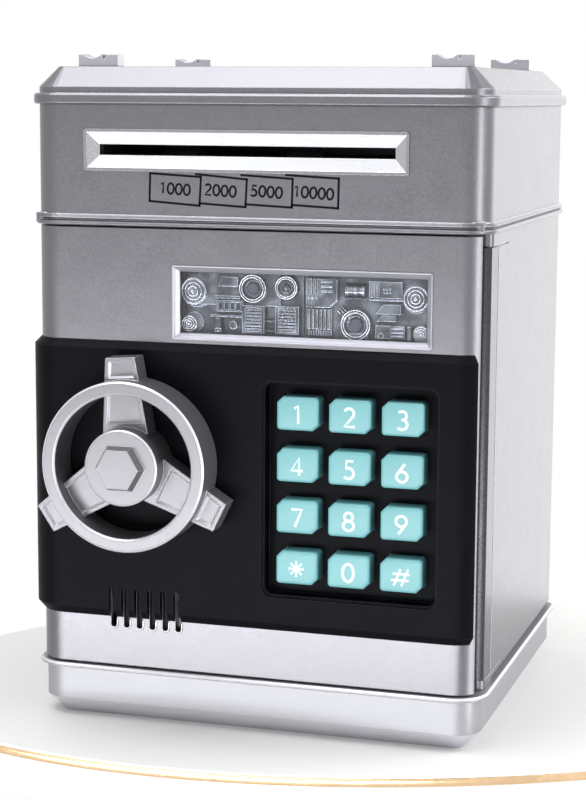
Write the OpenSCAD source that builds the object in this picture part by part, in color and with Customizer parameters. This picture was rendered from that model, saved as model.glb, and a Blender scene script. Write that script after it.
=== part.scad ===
// Coin bank in the form of a cash machine: a moulded casing with a note feeder in its head,
// and a hinged door that carries a handwheel lock, a keypad, a window and the batteries.
// Origin on the floor under the middle of the casing, X to the right, Y to the back, Z up.

/* [Casing] */
// Width of the casing over its side walls
body_w = 127; // [124:1:134]
// Depth of the casing from its front plane to its rear wall
body_d = 110; // [106:1:120]
// Height of the base tray to the top of its bead
tray_h = 15.7; // [15:0.1:18]
// Height of the door's outer skin
door_h = 122.1; // [121:0.1:130]
// Height of the head from the top of the door gap to the lid
head_h = 32.6; // [32:0.1:38]
// Wall thickness of the moulded shells
wall = 2; // [1.6:0.1:2.4]
// Radius of the front upright corners
corner_r = 8; // [7:0.5:10]
// Radius of the rear upright corners
rear_r = 3; // [2.8:0.1:5]
// Height of the lid above the head, without its lugs
lid_h = 10.1; // [9.5:0.1:12]
// How far the sloping edges of lid and tray come in
slope_in = 5.5; // [4:0.1:7]
// Distance of the casing's screws in from the side walls
screw_in = 9.5; // [9:0.1:12]
// Distance of the front screws back from the front plane
screw_front = 42.5; // [41:0.5:50]
// Distance of the rear screws in from the rear wall
screw_back = 11; // [9:0.5:20]
// Shadow gap above and below the door
door_gap = 0.5; // [0.4:0.1:1]
// Width of the black panel's step over the door skin
panel_t = 2; // [1.5:0.1:2.5]

/* [Hinge] */
// Radius of the hinge barrel
barrel_r = 4.8; // [4.4:0.1:5]
// Distance from the front plane back to the hinge axis
hinge_set = 11.5; // [11:0.1:13]
// Distance from the side wall's outer face in to the hinge axis
hinge_in = 2.5; // [2.3:0.1:3]
// Radius of the two hinge pins
hinge_pin_r = 1.5; // [1.2:0.1:1.6]
// Height of each hinge ear
ear_h = 3; // [2.5:0.1:4]

/* [Note slot] */
// Width of the slot that takes the notes
slot_w = 82.6; // [78:0.1:84]
// Height of the slot that takes the notes
slot_h = 2.9; // [2.4:0.1:3.4]
// Sideways place of the slot's middle
slot_x = -2.5; // [-4:0.25:-2]
// Height of the slot's middle above the head's lower edge
slot_up = 20.45; // [20:0.05:21]
// Depth from the head's face to the end of the slot's throat
slot_depth = 3.6; // [3:0.1:4]
// Depth of the funnel in front of the throat
funnel_d = 1.4; // [1:0.1:2]

/* [Coin slot] */
// Length of the coin slot in the lid
coin_w = 30; // [26:1:34]
// Width of the coin slot in the lid
coin_t = 3.2; // [2.6:0.1:4]
// Place of the coin slot behind the casing's middle
coin_y = 15; // [8:1:25]

/* [Keypad] */
// Width of a key
key_w = 11.6; // [11:0.1:12.8]
// Height of a key
key_h = 9.1; // [8.8:0.1:11.6]
// Spacing of the keys across
key_dx = 14.45; // [14.3:0.05:14.6]
// Spacing of the keys up and down
key_dz = 14; // [13.6:0.05:14.2]
// Distance of the keypad's middle in from the right wall
pad_x = 35.5; // [34.7:0.1:36]
// Height of the keypad's middle above the door's lower edge
pad_up = 53; // [52.5:0.1:54]
// Depth of the keypad's recess
pad_depth = 5.5; // [5:0.1:6]
// Travel of a key
key_travel = 1.2; // [0.8:0.1:1.3]

/* [Handwheel] */
// Distance of the handwheel's axis in from the left wall
wheel_x = 31.6; // [31:0.1:32.5]
// Height of the handwheel's axis above the door's lower edge
wheel_up = 58.8; // [58:0.1:60]
// Outer radius of the handwheel's ring
ring_r = 23.3; // [22:0.1:24]
// Radial width of the ring
ring_w = 3.7; // [3:0.1:4.5]
// Depth of the ring along its axis
ring_d = 11.4; // [10:0.1:12]
// Radius of the hub
hub_r = 10.4; // [9.5:0.1:11]
// Reach of the spokes from the axis
spoke_reach = 29.2; // [28.5:0.1:31.5]
// Width of a spoke at the hub
spoke_w0 = 12.5; // [10:0.1:13]
// Width of a spoke at its tip
spoke_w1 = 8.4; // [7.5:0.1:10]
// Angle that the first spoke leans from upright with the bolt drawn back
wheel_lean = 4; // [0:0.5:6]
// Radius of the handwheel's shaft where it passes the door
shaft_r = 3; // [2.5:0.1:3.2]

/* [Lock] */
// Tooth size of the latch pinion
latch_m = 1; // [0.9:0.05:1]
// Teeth on the latch pinion
latch_teeth = 8; // [8:1:8]
// Height of the latch bolt's bar
bolt_h = 6.85; // [6:0.05:8]
// Thickness of the latch bolt
bolt_t = 3.4; // [3:0.1:3.6]
// Radius of the solenoid's plunger
plunger_r = 1.5; // [1.2:0.1:1.5]
// Travel of the plunger
plunger_travel = 4; // [3.5:0.1:4]

/* [Window] */
// Width of the window's bezel
win_w = 72; // [70:0.5:73]
// Height of the window's bezel
win_h = 20; // [19:0.1:21]
// Distance of the window's middle in from the right wall
win_x = 49.9; // [49.5:0.1:50.5]
// Height of the window's middle above the door's lower edge
win_up = 102.4; // [102:0.1:103]
// Width of the bezel's sloping face
win_edge = 1.7; // [1.4:0.1:2]

/* [Note feeder] */
// Radius of the drive rollers
drive_r = 7; // [6.5:0.1:7.2]
// Radius of the pinch rollers
pinch_r = 4.5; // [4:0.1:4.8]
// Tooth size of the feeder's gears
feed_m = 0.6; // [0.55:0.01:0.6]
// Teeth on the drive gear
drive_teeth = 30; // [28:1:31]
// Teeth on the motor's pinion
motor_teeth = 10; // [10:1:12]

/* [Batteries] */
// Length of a battery
cell_l = 50.2; // [49.5:0.1:50.5]
// Radius of a battery
cell_r = 7.15; // [6.9:0.05:7.25]

/* [Hidden] */

$fn = 64;
hull_fn = 32;
eps = 0.01;
far = 200;

// Clearances
fit = 0.1;         // between two moulded pieces that stay together
run = 0.05;        // round a shaft in its bore
slide = 0.1;       // beside a sliding piece
tooth_play = 0.12; // between two gears' teeth

// Casing planes
hw = body_w / 2;
hd = body_d / 2;
wheel_cx = -hw + wheel_x;
win_cx = hw - win_x;
pad_cx = hw - pad_x;
front_y = -hd;
skin_y = front_y + wall;
door_z0 = tray_h + door_gap;
door_z1 = door_z0 + door_h;
head_z = door_z1 + door_gap;
head_top = head_z + head_h;
lid_top = head_top + lid_h;
bead = 1.5;        // how far the beads of tray and lid stand out
rib = 1.3;         // how far the head's double rib stands out
rib_h = 3;         // height of the double rib

// Screws that hold the casing together
screw_r = 1.1;
screw_head_r = 2.6;
screw_head_h = 1.6;
screw_l = 7;
screw_x = hw - screw_in;
boss_r = 3.6;
boss_h = 9;
screw_seat_t = 3.5;   // plastic under the head of a tray or lid screw
web_seat_t = 2.4;     // and under the head of a screw between shell and head
screw_ys = [front_y + screw_front, hd - screw_back];

// Hinge
hinge_x = hw - hinge_in;
hinge_y = front_y + hinge_set;
right_edge_y = hinge_y + barrel_r + 0.2;
left_edge_y = front_y + 9.4;
ear_front_y = hinge_y - 3.5;
ear_x0 = hinge_x - 3.9;
ear_back_y = right_edge_y + 13;
ear_z0 = tray_h;
ear_z1 = door_z1 - ear_h;
barrel_z0 = ear_z0 + ear_h + 0.2;
barrel_z1 = ear_z1 - 0.2;
skin_end_angle = 53;   // where the door's skin ends on the hinge side's corner

// Door liner, the inner half of the door
liner_t = 1.6;
liner_x0 = -hw + 7.5;
liner_x1 = hw - 6.5;
liner_z0 = door_z0 + 4.8;
liner_z1 = door_z1 - 5.3;
liner_y0 = skin_y + 0.5;
liner_y1 = front_y + 21.1;
liner_in_y = liner_y1 - liner_t;

// Handwheel and lock
wheel_z = door_z0 + wheel_up;
panel_y = front_y - panel_t - fit;
wheel_back_y = panel_y - 0.5;
ring_front_y = wheel_back_y - ring_d;
hub_front_y = ring_front_y - 0.9;
hex_front_y = hub_front_y - 2.6;
spoke_front_y = ring_front_y + 4.4;
spoke_back_y = wheel_back_y - 0.6;
tail_r = 1.5;
latch_r = latch_m * latch_teeth / 2;
bolt_travel = latch_r * PI / 2;
bolt_y1 = liner_in_y - 3;
bolt_y0 = bolt_y1 - bolt_t;
bolt_my = (bolt_y0 + bolt_y1) / 2;
bolt_top = wheel_z - latch_r - 1.15 * latch_m;
bolt_z0 = bolt_top - bolt_h;
bolt_tip_x = -hw + wall + bolt_travel + 0.2;
bolt_end_x = wheel_cx + 14;
notch_w = 2 * plunger_r + 0.4;
plunger_x = wheel_cx - 14.1;
plunger_top = bolt_z0 - 0.6;
solenoid_top = plunger_top - 8;
solenoid_h = 20;
solenoid_w = 11;
solenoid_y0 = bolt_my - 4.7;
solenoid_y1 = liner_in_y - fit;
frame_plate_y1 = bolt_y0 - slide;
frame_plate_t = 1;
lock_post_r = 2.5;
lock_posts = [[wheel_cx + 10, wheel_z + 8], [wheel_cx - 18, wheel_z + 8]];

// Liner screws, in X and Z
door_screw_at = [[liner_x0 + 6, liner_z0 + 6], [liner_x1 - 7, liner_z0 + 6],
    [liner_x0 + 6, liner_z1 - 5], [win_cx + win_w / 2 - 2.6, door_z0 + win_up - win_h / 2 - 5.1]];
door_boss_r = 3.6;
door_boss_y = front_y + 15;
door_screw_r = 1;
door_screw_l = 6;
door_seat_t = 1.6;

// Window
win_z = door_z0 + win_up;
clear_w = win_w - 2 * win_edge;
clear_h = win_h - 2 * win_edge;
lens_t = 1.4;
lens_y1 = skin_y + 0.1;
relief_y = front_y + 5.2;
relief_t = 1;
relief_rim = 2;

// Keypad
pad_z = door_z0 + pad_up;
pad_w = 2 * key_dx + key_w + 8.2;
pad_h = 3 * key_dz + key_h + 8.1;
pad_r = 3;
pad_wall = 1.3;
floor_t = 1.2;
floor_y = panel_y + pad_depth;
floor_back_y = floor_y + floor_t;
key_front_y = panel_y + 0.3;
key_flange_y = floor_back_y + fit;
key_flange_t = 0.8;
flange_w = key_w + 1.4;
flange_h = key_h + 2.2;
mat_y = key_flange_y + key_flange_t + fit;
dome_h = key_travel + 0.2;
mat_t = 0.8;
board_y = mat_y + dome_h + mat_t + fit;
board_t = 1.4;
post_x = pad_w / 2 - 1.1;
post_z = pad_h / 2 - 3;
post_r = 1.1;
pin_r = 0.75;

// Batteries
cells = 3;
cell_dz = 2 * cell_r + 0.6;
box_wall = 1.4;
box_in_w = cell_l + 3.2;
box_in_h = cells * cell_dz + 0.6;
box_flange = 1.6;
box_x = liner_x1 - liner_t - 0.2 - box_flange - box_in_w / 2 - box_wall;
box_z = pad_z - 0.2;
box_y0 = board_y + board_t + 1.2;
cell_y = box_y0 + box_wall + fit + cell_r;
box_y1 = cell_y + cell_r + 0.5;
cover_t = 1.5;
cover_y0 = box_y1 + fit;
rail_lip = 1.2;
rail_y = cover_y0 + cover_t + fit;
rail_t = 0.9;

// Main board and speaker, inside the foot of the door
main_w = 52;
main_x0 = door_screw_at[1][0] - door_boss_r - 0.5 - main_w;
main_z0 = liner_z0 + 2.2;
main_h = 14.6;
main_y = skin_y + 3;
main_t = 1.4;
vent_pitch = 3.82;
vents = 6;
vent_x = wheel_cx + 1.4;
vent_w = 1.8;
vent_z0 = door_z0 + 10.8;
vent_z1 = door_z0 + 22.6;
speaker_r = 8.9;
speaker_z = (vent_z0 + vent_z1) / 2;

// Black panel
panel_z0 = door_z0 + 13.8;
panel_z1 = door_z0 + 91.4;
panel_slope_low = 2.4;
panel_slope_top = 2;
panel_end_angle = 40;

// Note feeder
slot_z = head_z + slot_up;
bezel_w = slot_w + 8;
bezel_h = slot_h + 8.3;
guide_t = 1.5;
guide_y0 = front_y + slot_depth + 1.2;
guide_y1 = screw_ys[0] - boss_r - 1.4;
guide_x0 = slot_x - slot_w / 2 - 1;
guide_x1 = slot_x + slot_w / 2 + 1;
low_guide_z = slot_z - slot_h / 2 - fit;
top_guide_z = slot_z + slot_h / 2 + fit;
cheek_t = 2;
drive_y = front_y + 17;
drive_z = slot_z - 0.1 - drive_r;
pinch_z = slot_z + 0.1 + pinch_r;
feed_shaft_r = 1.5;
drive_pitch_r = feed_m * drive_teeth / 2;
motor_pitch_r = feed_m * motor_teeth / 2;
gear_gap = drive_pitch_r + motor_pitch_r;
motor_z = drive_z - 4.6;
motor_y = drive_y + sqrt(gear_gap * gear_gap - 4.6 * 4.6);
motor_r = 10;
motor_flat = 7.5;
motor_l = 21.5;
motor_shaft_r = 1;
gear_x = guide_x1 + cheek_t + 1.6;
gear_t = 3;
roller_w = 10;
roller_x = [slot_x - 22.75, slot_x + 13.25];
shelf_z = head_z + rib_h + 0.2;
shelf_t = 2.4;
tab_t = 2;
feeder_tabs = [[guide_x0 - cheek_t - 3, guide_y0 + 2.4], [guide_x1 + cheek_t + 3, guide_y0 + 2.4]];
short_screw_l = 3.4;
sensor_x = slot_x - 2.5;
sensor_y = guide_y0 + 5.5;
top_guide_t = 1.2;

// Colours
silver = [0.70, 0.70, 0.72];
black = [0.10, 0.10, 0.11];
bright = [0.82, 0.82, 0.84];
steel = [0.62, 0.63, 0.65];
green = [0.13, 0.38, 0.24];
teal = [0.55, 0.82, 0.83];

// Outline of the casing seen from above, let out by grow
module plan(grow = 0) {
    w = hw + grow;
    d = hd + grow;
    fr = corner_r + grow;
    rr = max(0.4, rear_r + grow);
    translate([-w, -d + fr]) square([2 * w, 2 * d - fr - rr]);
    translate([-w + fr, -d]) square([2 * (w - fr), 2 * fr]);
    translate([-w + rr, d - 2 * rr]) square([2 * (w - rr), 2 * rr]);
    for (s = [-1, 1]) {
        translate([s * (w - fr), -d + fr]) circle(fr);
        translate([s * (w - rr), d - rr]) circle(rr);
    }
}

module slab(grow, z0, z1) {
    translate([0, 0, z0]) linear_extrude(z1 - z0) plan(grow);
}

// A ring of the casing's outline, from grow_in to grow_out
module band(grow_in, grow_out, z0, z1) {
    difference() {
        slab(grow_out, z0, z1);
        slab(grow_in, z0 - eps, z1 + eps);
    }
}

// A solid between two outlines at two heights
module slope(grow0, z0, grow1, z1) {
    hull() {
        slab(grow0, z0, z0 + eps, $fn = hull_fn);
        slab(grow1, z1 - eps, z1, $fn = hull_fn);
    }
}

// A rounded rectangle of size [x, z] about [cx, cz], from y0 back to y1
module face_block(cx, cz, w, h, y0, y1, r = 0) {
    translate([cx, y1, cz]) rotate([90, 0, 0]) linear_extrude(y1 - y0)
        if (r > 0) {
            square([w - 2 * r, h], center = true);
            square([w, h - 2 * r], center = true);
            for (sx = [-1, 1], sz = [-1, 1]) translate([sx * (w / 2 - r), sz * (h / 2 - r)]) circle(r);
        } else {
            square([w, h], center = true);
        }
}

// A round rod along Y from y0 back to y1
module rod_y(cx, cz, r, y0, y1) {
    translate([cx, y1, cz]) rotate([90, 0, 0]) cylinder(h = y1 - y0, r = r);
}

// A round rod along X from x0 to x1
module rod_x(cy, cz, r, x0, x1) {
    translate([x0, cy, cz]) rotate([0, 90, 0]) cylinder(h = x1 - x0, r = r);
}

module rod_z(cx, cy, r, z0, z1) {
    translate([cx, cy, z0]) cylinder(h = z1 - z0, r = r);
}

module box(x0, x1, y0, y1, z0, z1) {
    translate([x0, y0, z0]) cube([x1 - x0, y1 - y0, z1 - z0]);
}

// A pan-head screw whose seat is at z, with its shank upwards
module screw_up(x, y, z, l = screw_l) {
    rod_z(x, y, screw_r, z - eps, z + l);
    rod_z(x, y, screw_head_r, z - screw_head_h, z);
}

// Points of one involute flank of a gear, from the base circle to the tip
function inv_angle(r, rb) = let (t = sqrt(max(0, r * r / (rb * rb) - 1))) t * 180 / PI - atan(t);

// Outline of a gear with an involute profile of 25 degrees, a tooth's middle on +X
function gear_points(teeth, m, addendum = 1, steps = 6) =
    let (
        pr = m * teeth / 2,
        rb = pr * cos(25),
        ra = pr + addendum * m,
        rr = pr - 1.25 * m,
        half = 90 / teeth - tooth_play / pr * 90 / PI / 2 + inv_angle(pr, rb),
        r0 = max(rb, rr),
        radii = [for (i = [0 : steps]) r0 + (ra - r0) * i / steps]
    )
    [for (t = [0 : teeth - 1]) let (mid = t * 360 / teeth)
        each concat(
            [[rr * cos(mid - half), rr * sin(mid - half)]],
            [for (r = radii) let (a = mid - half + inv_angle(r, rb)) [r * cos(a), r * sin(a)]],
            [for (i = [steps : -1 : 0]) let (r = radii[i], a = mid + half - inv_angle(r, rb))
                [r * cos(a), r * sin(a)]],
            [[rr * cos(mid + half), rr * sin(mid + half)]])];

// Outline of a rack's teeth above its pitch line at 0, a tooth's middle on each whole pitch
module rack_teeth(m, count, addendum = 0.7, dedendum = 1.15) {
    pitch = PI * m;
    half = pitch / 4 - tooth_play / 4;
    slant = tan(25) * m;
    for (i = [0 : count - 1]) translate([i * pitch, 0])
        polygon([[-half - slant * dedendum, -dedendum * m - eps], [-half + slant * addendum, addendum * m],
            [half - slant * addendum, addendum * m], [half + slant * dedendum, -dedendum * m - eps]]);
}

// Points of a ring of a coil's wire
function coil_ring(r, wire, pitch, t, sides) =
    [for (k = [0 : sides - 1]) let (a = 360 * t, b = 360 * k / sides)
        [(r + wire * cos(b)) * cos(a), (r + wire * cos(b)) * sin(a), pitch * t + wire * sin(b)]];

// A coil spring about Z, its wire's middle at radius r
module coil(r, wire, pitch, turns, sides = 6, per_turn = 14) {
    rings = turns * per_turn;
    pts = [for (i = [0 : rings]) each coil_ring(r, wire, pitch, i / per_turn, sides)];
    ends = [[for (k = [0 : sides - 1]) k], [for (k = [sides - 1 : -1 : 0]) rings * sides + k]];
    sides_faces = [for (i = [0 : rings - 1], k = [0 : sides - 1])
        let (a = i * sides + k, b = i * sides + (k + 1) % sides)
        each [[a, a + sides, b], [b, a + sides, b + sides]]];
    polyhedron(points = pts, faces = concat(ends, sides_faces));
}

// The part of a plan that the door covers, with its hinge side cut on a radius of the corner
module door_zone(angle, grow = 0) {
    cx = hw - corner_r;
    cy = front_y + corner_r;
    polygon([[-hw - 10, left_edge_y - 0.4], [-hw - 10, front_y - 10], [cx, front_y - 10],
        [cx + 30 * sin(angle), cy - 30 * cos(angle)], [cx, cy], [cx - corner_r, left_edge_y - 0.4]]);
}

module door_slice(angle, z0, z1) {
    translate([0, 0, z0]) linear_extrude(z1 - z0) door_zone(angle);
}

module screw_boss(x, y, z0, z1) {
    rod_z(x, y, boss_r, z0, z1);
    s = sign(x);
    box(min(x, s * (hw - wall / 2)), max(x, s * (hw - wall / 2)), y - 1, y + 1, z0, z1);
}

// Base tray: a dish with a sloping foot and a bead round its rim
module base_tray() {
    foot_h = 5;
    bead_z = tray_h - 1.5;
    inset = 0.4;
    floor_h = 2.2;
    color(silver) difference() {
        union() {
            slope(-slope_in, 0, -inset, foot_h);
            slab(-inset, foot_h - eps, tray_h);
            slope(bead, bead_z + 0.5, 0.4, bead_z);
            slab(bead, bead_z + 0.5 - eps, tray_h - 0.5);
            slope(bead, tray_h - 0.5 - eps, bead - 0.5, tray_h);
        }
        difference() {
            union() {
                slope(-slope_in - wall, floor_h, -inset - wall, foot_h + 2);
                slab(-inset - wall, foot_h + 2 - eps, tray_h + 1);
            }
            for (s = [-1, 1], y = screw_ys) rod_z(s * screw_x, y, boss_r + 0.6, 0, tray_h);
        }
        for (s = [-1, 1], y = screw_ys) {
            rod_z(s * screw_x, y, screw_head_r + 0.4, -1, tray_h - screw_seat_t);
            rod_z(s * screw_x, y, screw_r + fit, -1, tray_h + 1);
        }
    }
}

// Lower shell: two sides and the rear, open at the front, with the hinge's two ears
module body_shell() {
    step_z = tray_h + 1.5;
    color(silver) difference() {
        union() {
            difference() {
                union() {
                    band(-wall, 0, step_z, head_z);
                    band(-wall, -wall / 2, tray_h, step_z + eps);
                }
                box(-far, 0, -far, left_edge_y, -1, far);
                box(0, far, -far, right_edge_y, -1, far);
                box(-hw + wall + 1, hw - wall - 1, -far, 0, -1, far);
            }
            for (z = [[ear_z0, ear_z0 + ear_h], [ear_z1, head_z]]) {
                box(hinge_x, hw, ear_front_y + 2, right_edge_y + 1, z[0], z[1]);
                box(ear_x0, hw - 2, ear_front_y, ear_back_y, z[0], z[1]);
                rod_z(hw - 2, ear_front_y + 2, 2, z[0], z[1]);
            }
            for (s = [-1, 1], y = screw_ys) {
                screw_boss(s * screw_x, y, tray_h, tray_h + boss_h);
                screw_boss(s * screw_x, y, head_z - web_seat_t, head_z);
            }
        }
        rod_z(hinge_x, hinge_y, hinge_pin_r, ear_z0 - 1, ear_z0 + ear_h + 1);
        rod_z(hinge_x, hinge_y, hinge_pin_r, ear_z1 - 1, head_z + 1);
        for (s = [-1, 1], y = screw_ys) {
            rod_z(s * screw_x, y, screw_r + 0.03, tray_h - 1, tray_h + screw_l - screw_seat_t + 1);
            rod_z(s * screw_x, y, screw_r + fit, head_z - web_seat_t - 1, head_z + 1);
        }
        for (z = [ear_z0 + ear_h, ear_z1 - 0.4])
            box(hw - 0.4, hw + 1, right_edge_y - 1, ear_back_y, z, z + 0.4);
    }
}

// Upper shell with the double rib at its foot and a shelf behind the front wall
module head_shell() {
    color(silver) difference() {
        union() {
            band(-wall, 0, head_z, head_top);
            difference() {
                union() {
                    slope(rib - 0.4, head_z, rib, head_z + 0.4);
                    slab(rib, head_z + 0.4 - eps, head_z + 1);
                    slope(rib, head_z + 1 - eps, rib - 0.5, head_z + 1.4);
                    slab(0.5, head_z + 1.4 - eps, head_z + rib_h);
                    slope(rib - 0.5, head_z + 1.7, rib, head_z + 2.1);
                    slope(rib, head_z + 2.1 - eps, 0.2, head_z + rib_h);
                }
                slab(-wall, head_z - 1, head_z + rib_h + 1);
            }
            box(-hw + 1, hw - 1, front_y + 1, front_y + 9.5, shelf_z - shelf_t, shelf_z);
            for (s = [-1, 1], y = screw_ys) {
                screw_boss(s * screw_x, y, head_z, head_z + boss_h);
                screw_boss(s * screw_x, y, head_top - boss_h, head_top);
            }
        }
        face_block(slot_x, slot_z, bezel_w - 1, bezel_h - 1, front_y - 5, front_y + 5, 0.6);
        for (s = [-1, 1], y = screw_ys) {
            rod_z(s * screw_x, y, screw_r + 0.03, head_z - 1, head_z + screw_l - web_seat_t + 1);
            rod_z(s * screw_x, y, screw_head_r + 0.4, head_top - boss_h - 1, head_top - screw_seat_t);
            rod_z(s * screw_x, y, screw_r + fit, head_top - boss_h, head_top + 1);
        }
        for (t = feeder_tabs) rod_z(t[0], t[1], screw_r + 0.03, shelf_z - shelf_t - 1, shelf_z + 1);
    }
}

// One of the four moulded lugs on the lid: post, saddle, groove and block
module lug(x, y) {
    w = 11.5;
    d = 4.6;
    h = 3.4;
    saddle_w = 5.8;
    dip = 1;
    saddle_r = (saddle_w * saddle_w / 4 + dip * dip) / (2 * dip);
    translate([x, y + d / 2, lid_top - 0.3]) rotate([90, 0, 0]) linear_extrude(d) difference() {
        translate([-w / 2, 0]) square([w, h + 0.3]);
        translate([-w / 2 + 1.2 + saddle_w / 2, h + 0.3 + saddle_r - dip]) circle(saddle_r);
        translate([-w / 2 + 7.2, h - 0.9]) square([0.5, 3]);
    }
}

// Lid with a flange, a sloping edge, four lugs and the coin slot
module lid() {
    flange_h = 2.9;
    band_h = 1.7;
    z1 = head_top + flange_h;
    z2 = z1 + band_h;
    top_t = 2;
    color(silver) difference() {
        union() {
            slope(bead - 0.4, head_top, bead, head_top + 0.4);
            slab(bead, head_top + 0.4 - eps, z1 - 0.5);
            slope(bead, z1 - 0.5 - eps, bead - 0.5, z1);
            slab(0, z1 - eps, z2);
            slope(0, z2 - eps, -slope_in, lid_top);
            for (sx = [-1, 1], sy = [-1, 1]) lug(sx * (hw - 13.6) + 1.2, sy * (hd - 17) - 2);
        }
        difference() {
            union() {
                slab(-wall, head_top - 1, z2 + eps);
                slope(-wall, z2, -slope_in - wall, lid_top - top_t);
            }
            for (s = [-1, 1], y = screw_ys) rod_z(s * screw_x, y, boss_r, head_top, lid_top);
            box(-coin_w / 2 - 2, coin_w / 2 + 2, coin_y - coin_t / 2 - 2, coin_y + coin_t / 2 + 2,
                lid_top - top_t - 4, lid_top);
        }
        box(-coin_w / 2, coin_w / 2, coin_y - coin_t / 2, coin_y + coin_t / 2, head_top, lid_top + 1);
        for (s = [-1, 1], y = screw_ys)
            rod_z(s * screw_x, y, screw_r + 0.03, head_top - 1, head_top + screw_l - screw_seat_t + 0.7);
    }
}

// Frame of the note slot: a thin raised edge round a funnel
module note_slot_bezel() {
    edge = 0.8;
    back_y = front_y + slot_depth + 0.9;
    color(bright) difference() {
        union() {
            face_block(slot_x, slot_z, bezel_w, bezel_h, front_y - 0.4, front_y, 0.8);
            face_block(slot_x, slot_z, bezel_w - 1.2, bezel_h - 1.2, front_y - eps, back_y, 0.6);
        }
        hull() {
            face_block(slot_x, slot_z, bezel_w - 2 * edge, bezel_h - 2 * edge, front_y - 0.4 - eps, front_y);
            face_block(slot_x, slot_z, slot_w, slot_h, front_y + funnel_d - eps, front_y + funnel_d);
        }
        face_block(slot_x, slot_z, slot_w, slot_h, front_y, back_y + 1);
    }
}

// Keeper on the left wall, with the lip that the bolt slides behind
module strike_plate() {
    x0 = -hw + wall;
    lip_x = liner_x0 - 1.2;
    zc = (bolt_z0 + bolt_top) / 2;
    plate_h = bolt_h + 15;
    lip_h = bolt_h + 7;
    y0 = left_edge_y + 0.3;
    lip_y = bolt_y0 - 0.5;
    color(steel) difference() {
        union() {
            box(x0, x0 + 1, y0, bolt_y1 + 6, zc - plate_h / 2, zc + plate_h / 2);
            box(x0, lip_x, y0, lip_y, zc - lip_h / 2, zc + lip_h / 2);
        }
        box(x0 - 1, x0 + 2, bolt_y0 - 0.4, bolt_y1 + 0.4, bolt_z0 - 0.6, bolt_top + 0.6);
    }
}

module hinge_pin(z0, z1) {
    color(steel) rod_z(hinge_x, hinge_y, hinge_pin_r, z0, z1);
}

module hinge_pin_top() {
    hinge_pin(barrel_z1 - 6, head_z - 0.1);
}

module hinge_pin_bottom() {
    hinge_pin(ear_z0 + 0.1, barrel_z0 + 6);
}

// Twelve like screws: tray to body, body to head, head to lid
module casing_screws() {
    color(steel) for (s = [-1, 1], y = screw_ys) {
        screw_up(s * screw_x, y, tray_h - screw_seat_t);
        screw_up(s * screw_x, y, head_z - web_seat_t);
        screw_up(s * screw_x, y, head_top - screw_seat_t);
    }
}

// Feeder frame: lower guide, two cheeks that carry the shafts, and two foot tabs
module feeder_frame() {
    z1 = pinch_z + 5;
    z0 = shelf_z;
    color(black) difference() {
        union() {
            box(guide_x0, guide_x1, guide_y0, guide_y1, low_guide_z - guide_t, low_guide_z);
            for (x = [guide_x0 - cheek_t, guide_x1])
                box(x, x + cheek_t, guide_y0, guide_y1, z0, z1);
            for (t = feeder_tabs)
                box(min(t[0] - 3, t[0]), max(t[0] + 3, t[0]), t[1] - 2.4, t[1] + 3, z0, z0 + tab_t);
        }
        rod_x(drive_y, drive_z, feed_shaft_r + run, -far, far);
        rod_x(drive_y, pinch_z, feed_shaft_r + run, -far, far);
        rod_x(motor_y, motor_z, 3.1, guide_x1 - 1, guide_x1 + cheek_t + 1);
        for (x = roller_x)
            box(x - roller_w / 2 - 0.7, x + roller_w / 2 + 0.7, drive_y - 6.6, drive_y + 6.6,
                low_guide_z - guide_t - 1, low_guide_z + 1);
        for (t = feeder_tabs) rod_z(t[0], t[1], screw_r + fit, z0 - 1, z0 + tab_t + 1);
        rod_z(sensor_x, sensor_y, 1.2, low_guide_z - guide_t - 1, low_guide_z + 1);
    }
}

// Upper note guide, between the cheeks, with a turned-up front edge
module note_guide() {
    color(black) difference() {
        union() {
            box(guide_x0 + fit, guide_x1 - fit, guide_y0, guide_y1 - 6,
                top_guide_z, top_guide_z + top_guide_t);
            box(guide_x0 + fit, guide_x1 - fit, guide_y1 - 8, guide_y1 - 6, top_guide_z, pinch_z + 2);
            for (x = [guide_x0 + fit, guide_x1 - fit - 1.5])
                box(x, x + 1.5, guide_y0 + 1, drive_y - 4, top_guide_z, top_guide_z + 4);
        }
        for (x = roller_x)
            box(x - roller_w / 2 - 0.7, x + roller_w / 2 + 0.7, drive_y - pinch_r - 0.8,
                drive_y + pinch_r + 0.8, top_guide_z - 1, top_guide_z + top_guide_t + 1);
    }
}

// Can motor with two flats, its nose through the right cheek
module feed_motor() {
    x1 = guide_x1 - fit;
    color(steel) difference() {
        union() {
            intersection() {
                rod_x(motor_y, motor_z, motor_r, x1 - motor_l, x1);
                box(x1 - motor_l - 1, x1 + 1, -far, far, motor_z - motor_flat, motor_z + motor_flat);
            }
            rod_x(motor_y, motor_z, 3, x1 - eps, guide_x1 + cheek_t - 0.4);
            rod_x(motor_y, motor_z, 3, x1 - motor_l - 1.6, x1 - motor_l + eps);
            for (s = [-1, 1])
                box(x1 - motor_l - 2.6, x1 - motor_l, motor_y - 0.3, motor_y + 0.3,
                    motor_z + s * 5.2 - 1, motor_z + s * 5.2 + 1);
        }
        rod_x(motor_y, motor_z, motor_shaft_r + run, x1 - 8, guide_x1 + cheek_t + 1);
    }
}

// Light gate under the lower guide, that tells when a note is in the slot
module note_sensor() {
    x = sensor_x;
    y = sensor_y;
    z1 = low_guide_z - guide_t - 0.1;
    color(green) {
        box(x - 7, x + 7, y - 3, y + 3, z1 - 3.2, z1 - 2);
        box(x - 2.6, x + 2.6, y - 1.8, y + 1.8, z1 - 2 - eps, z1);
        rod_z(x, y, 1, z1 - eps, z1 + 0.8);
    }
}

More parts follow.
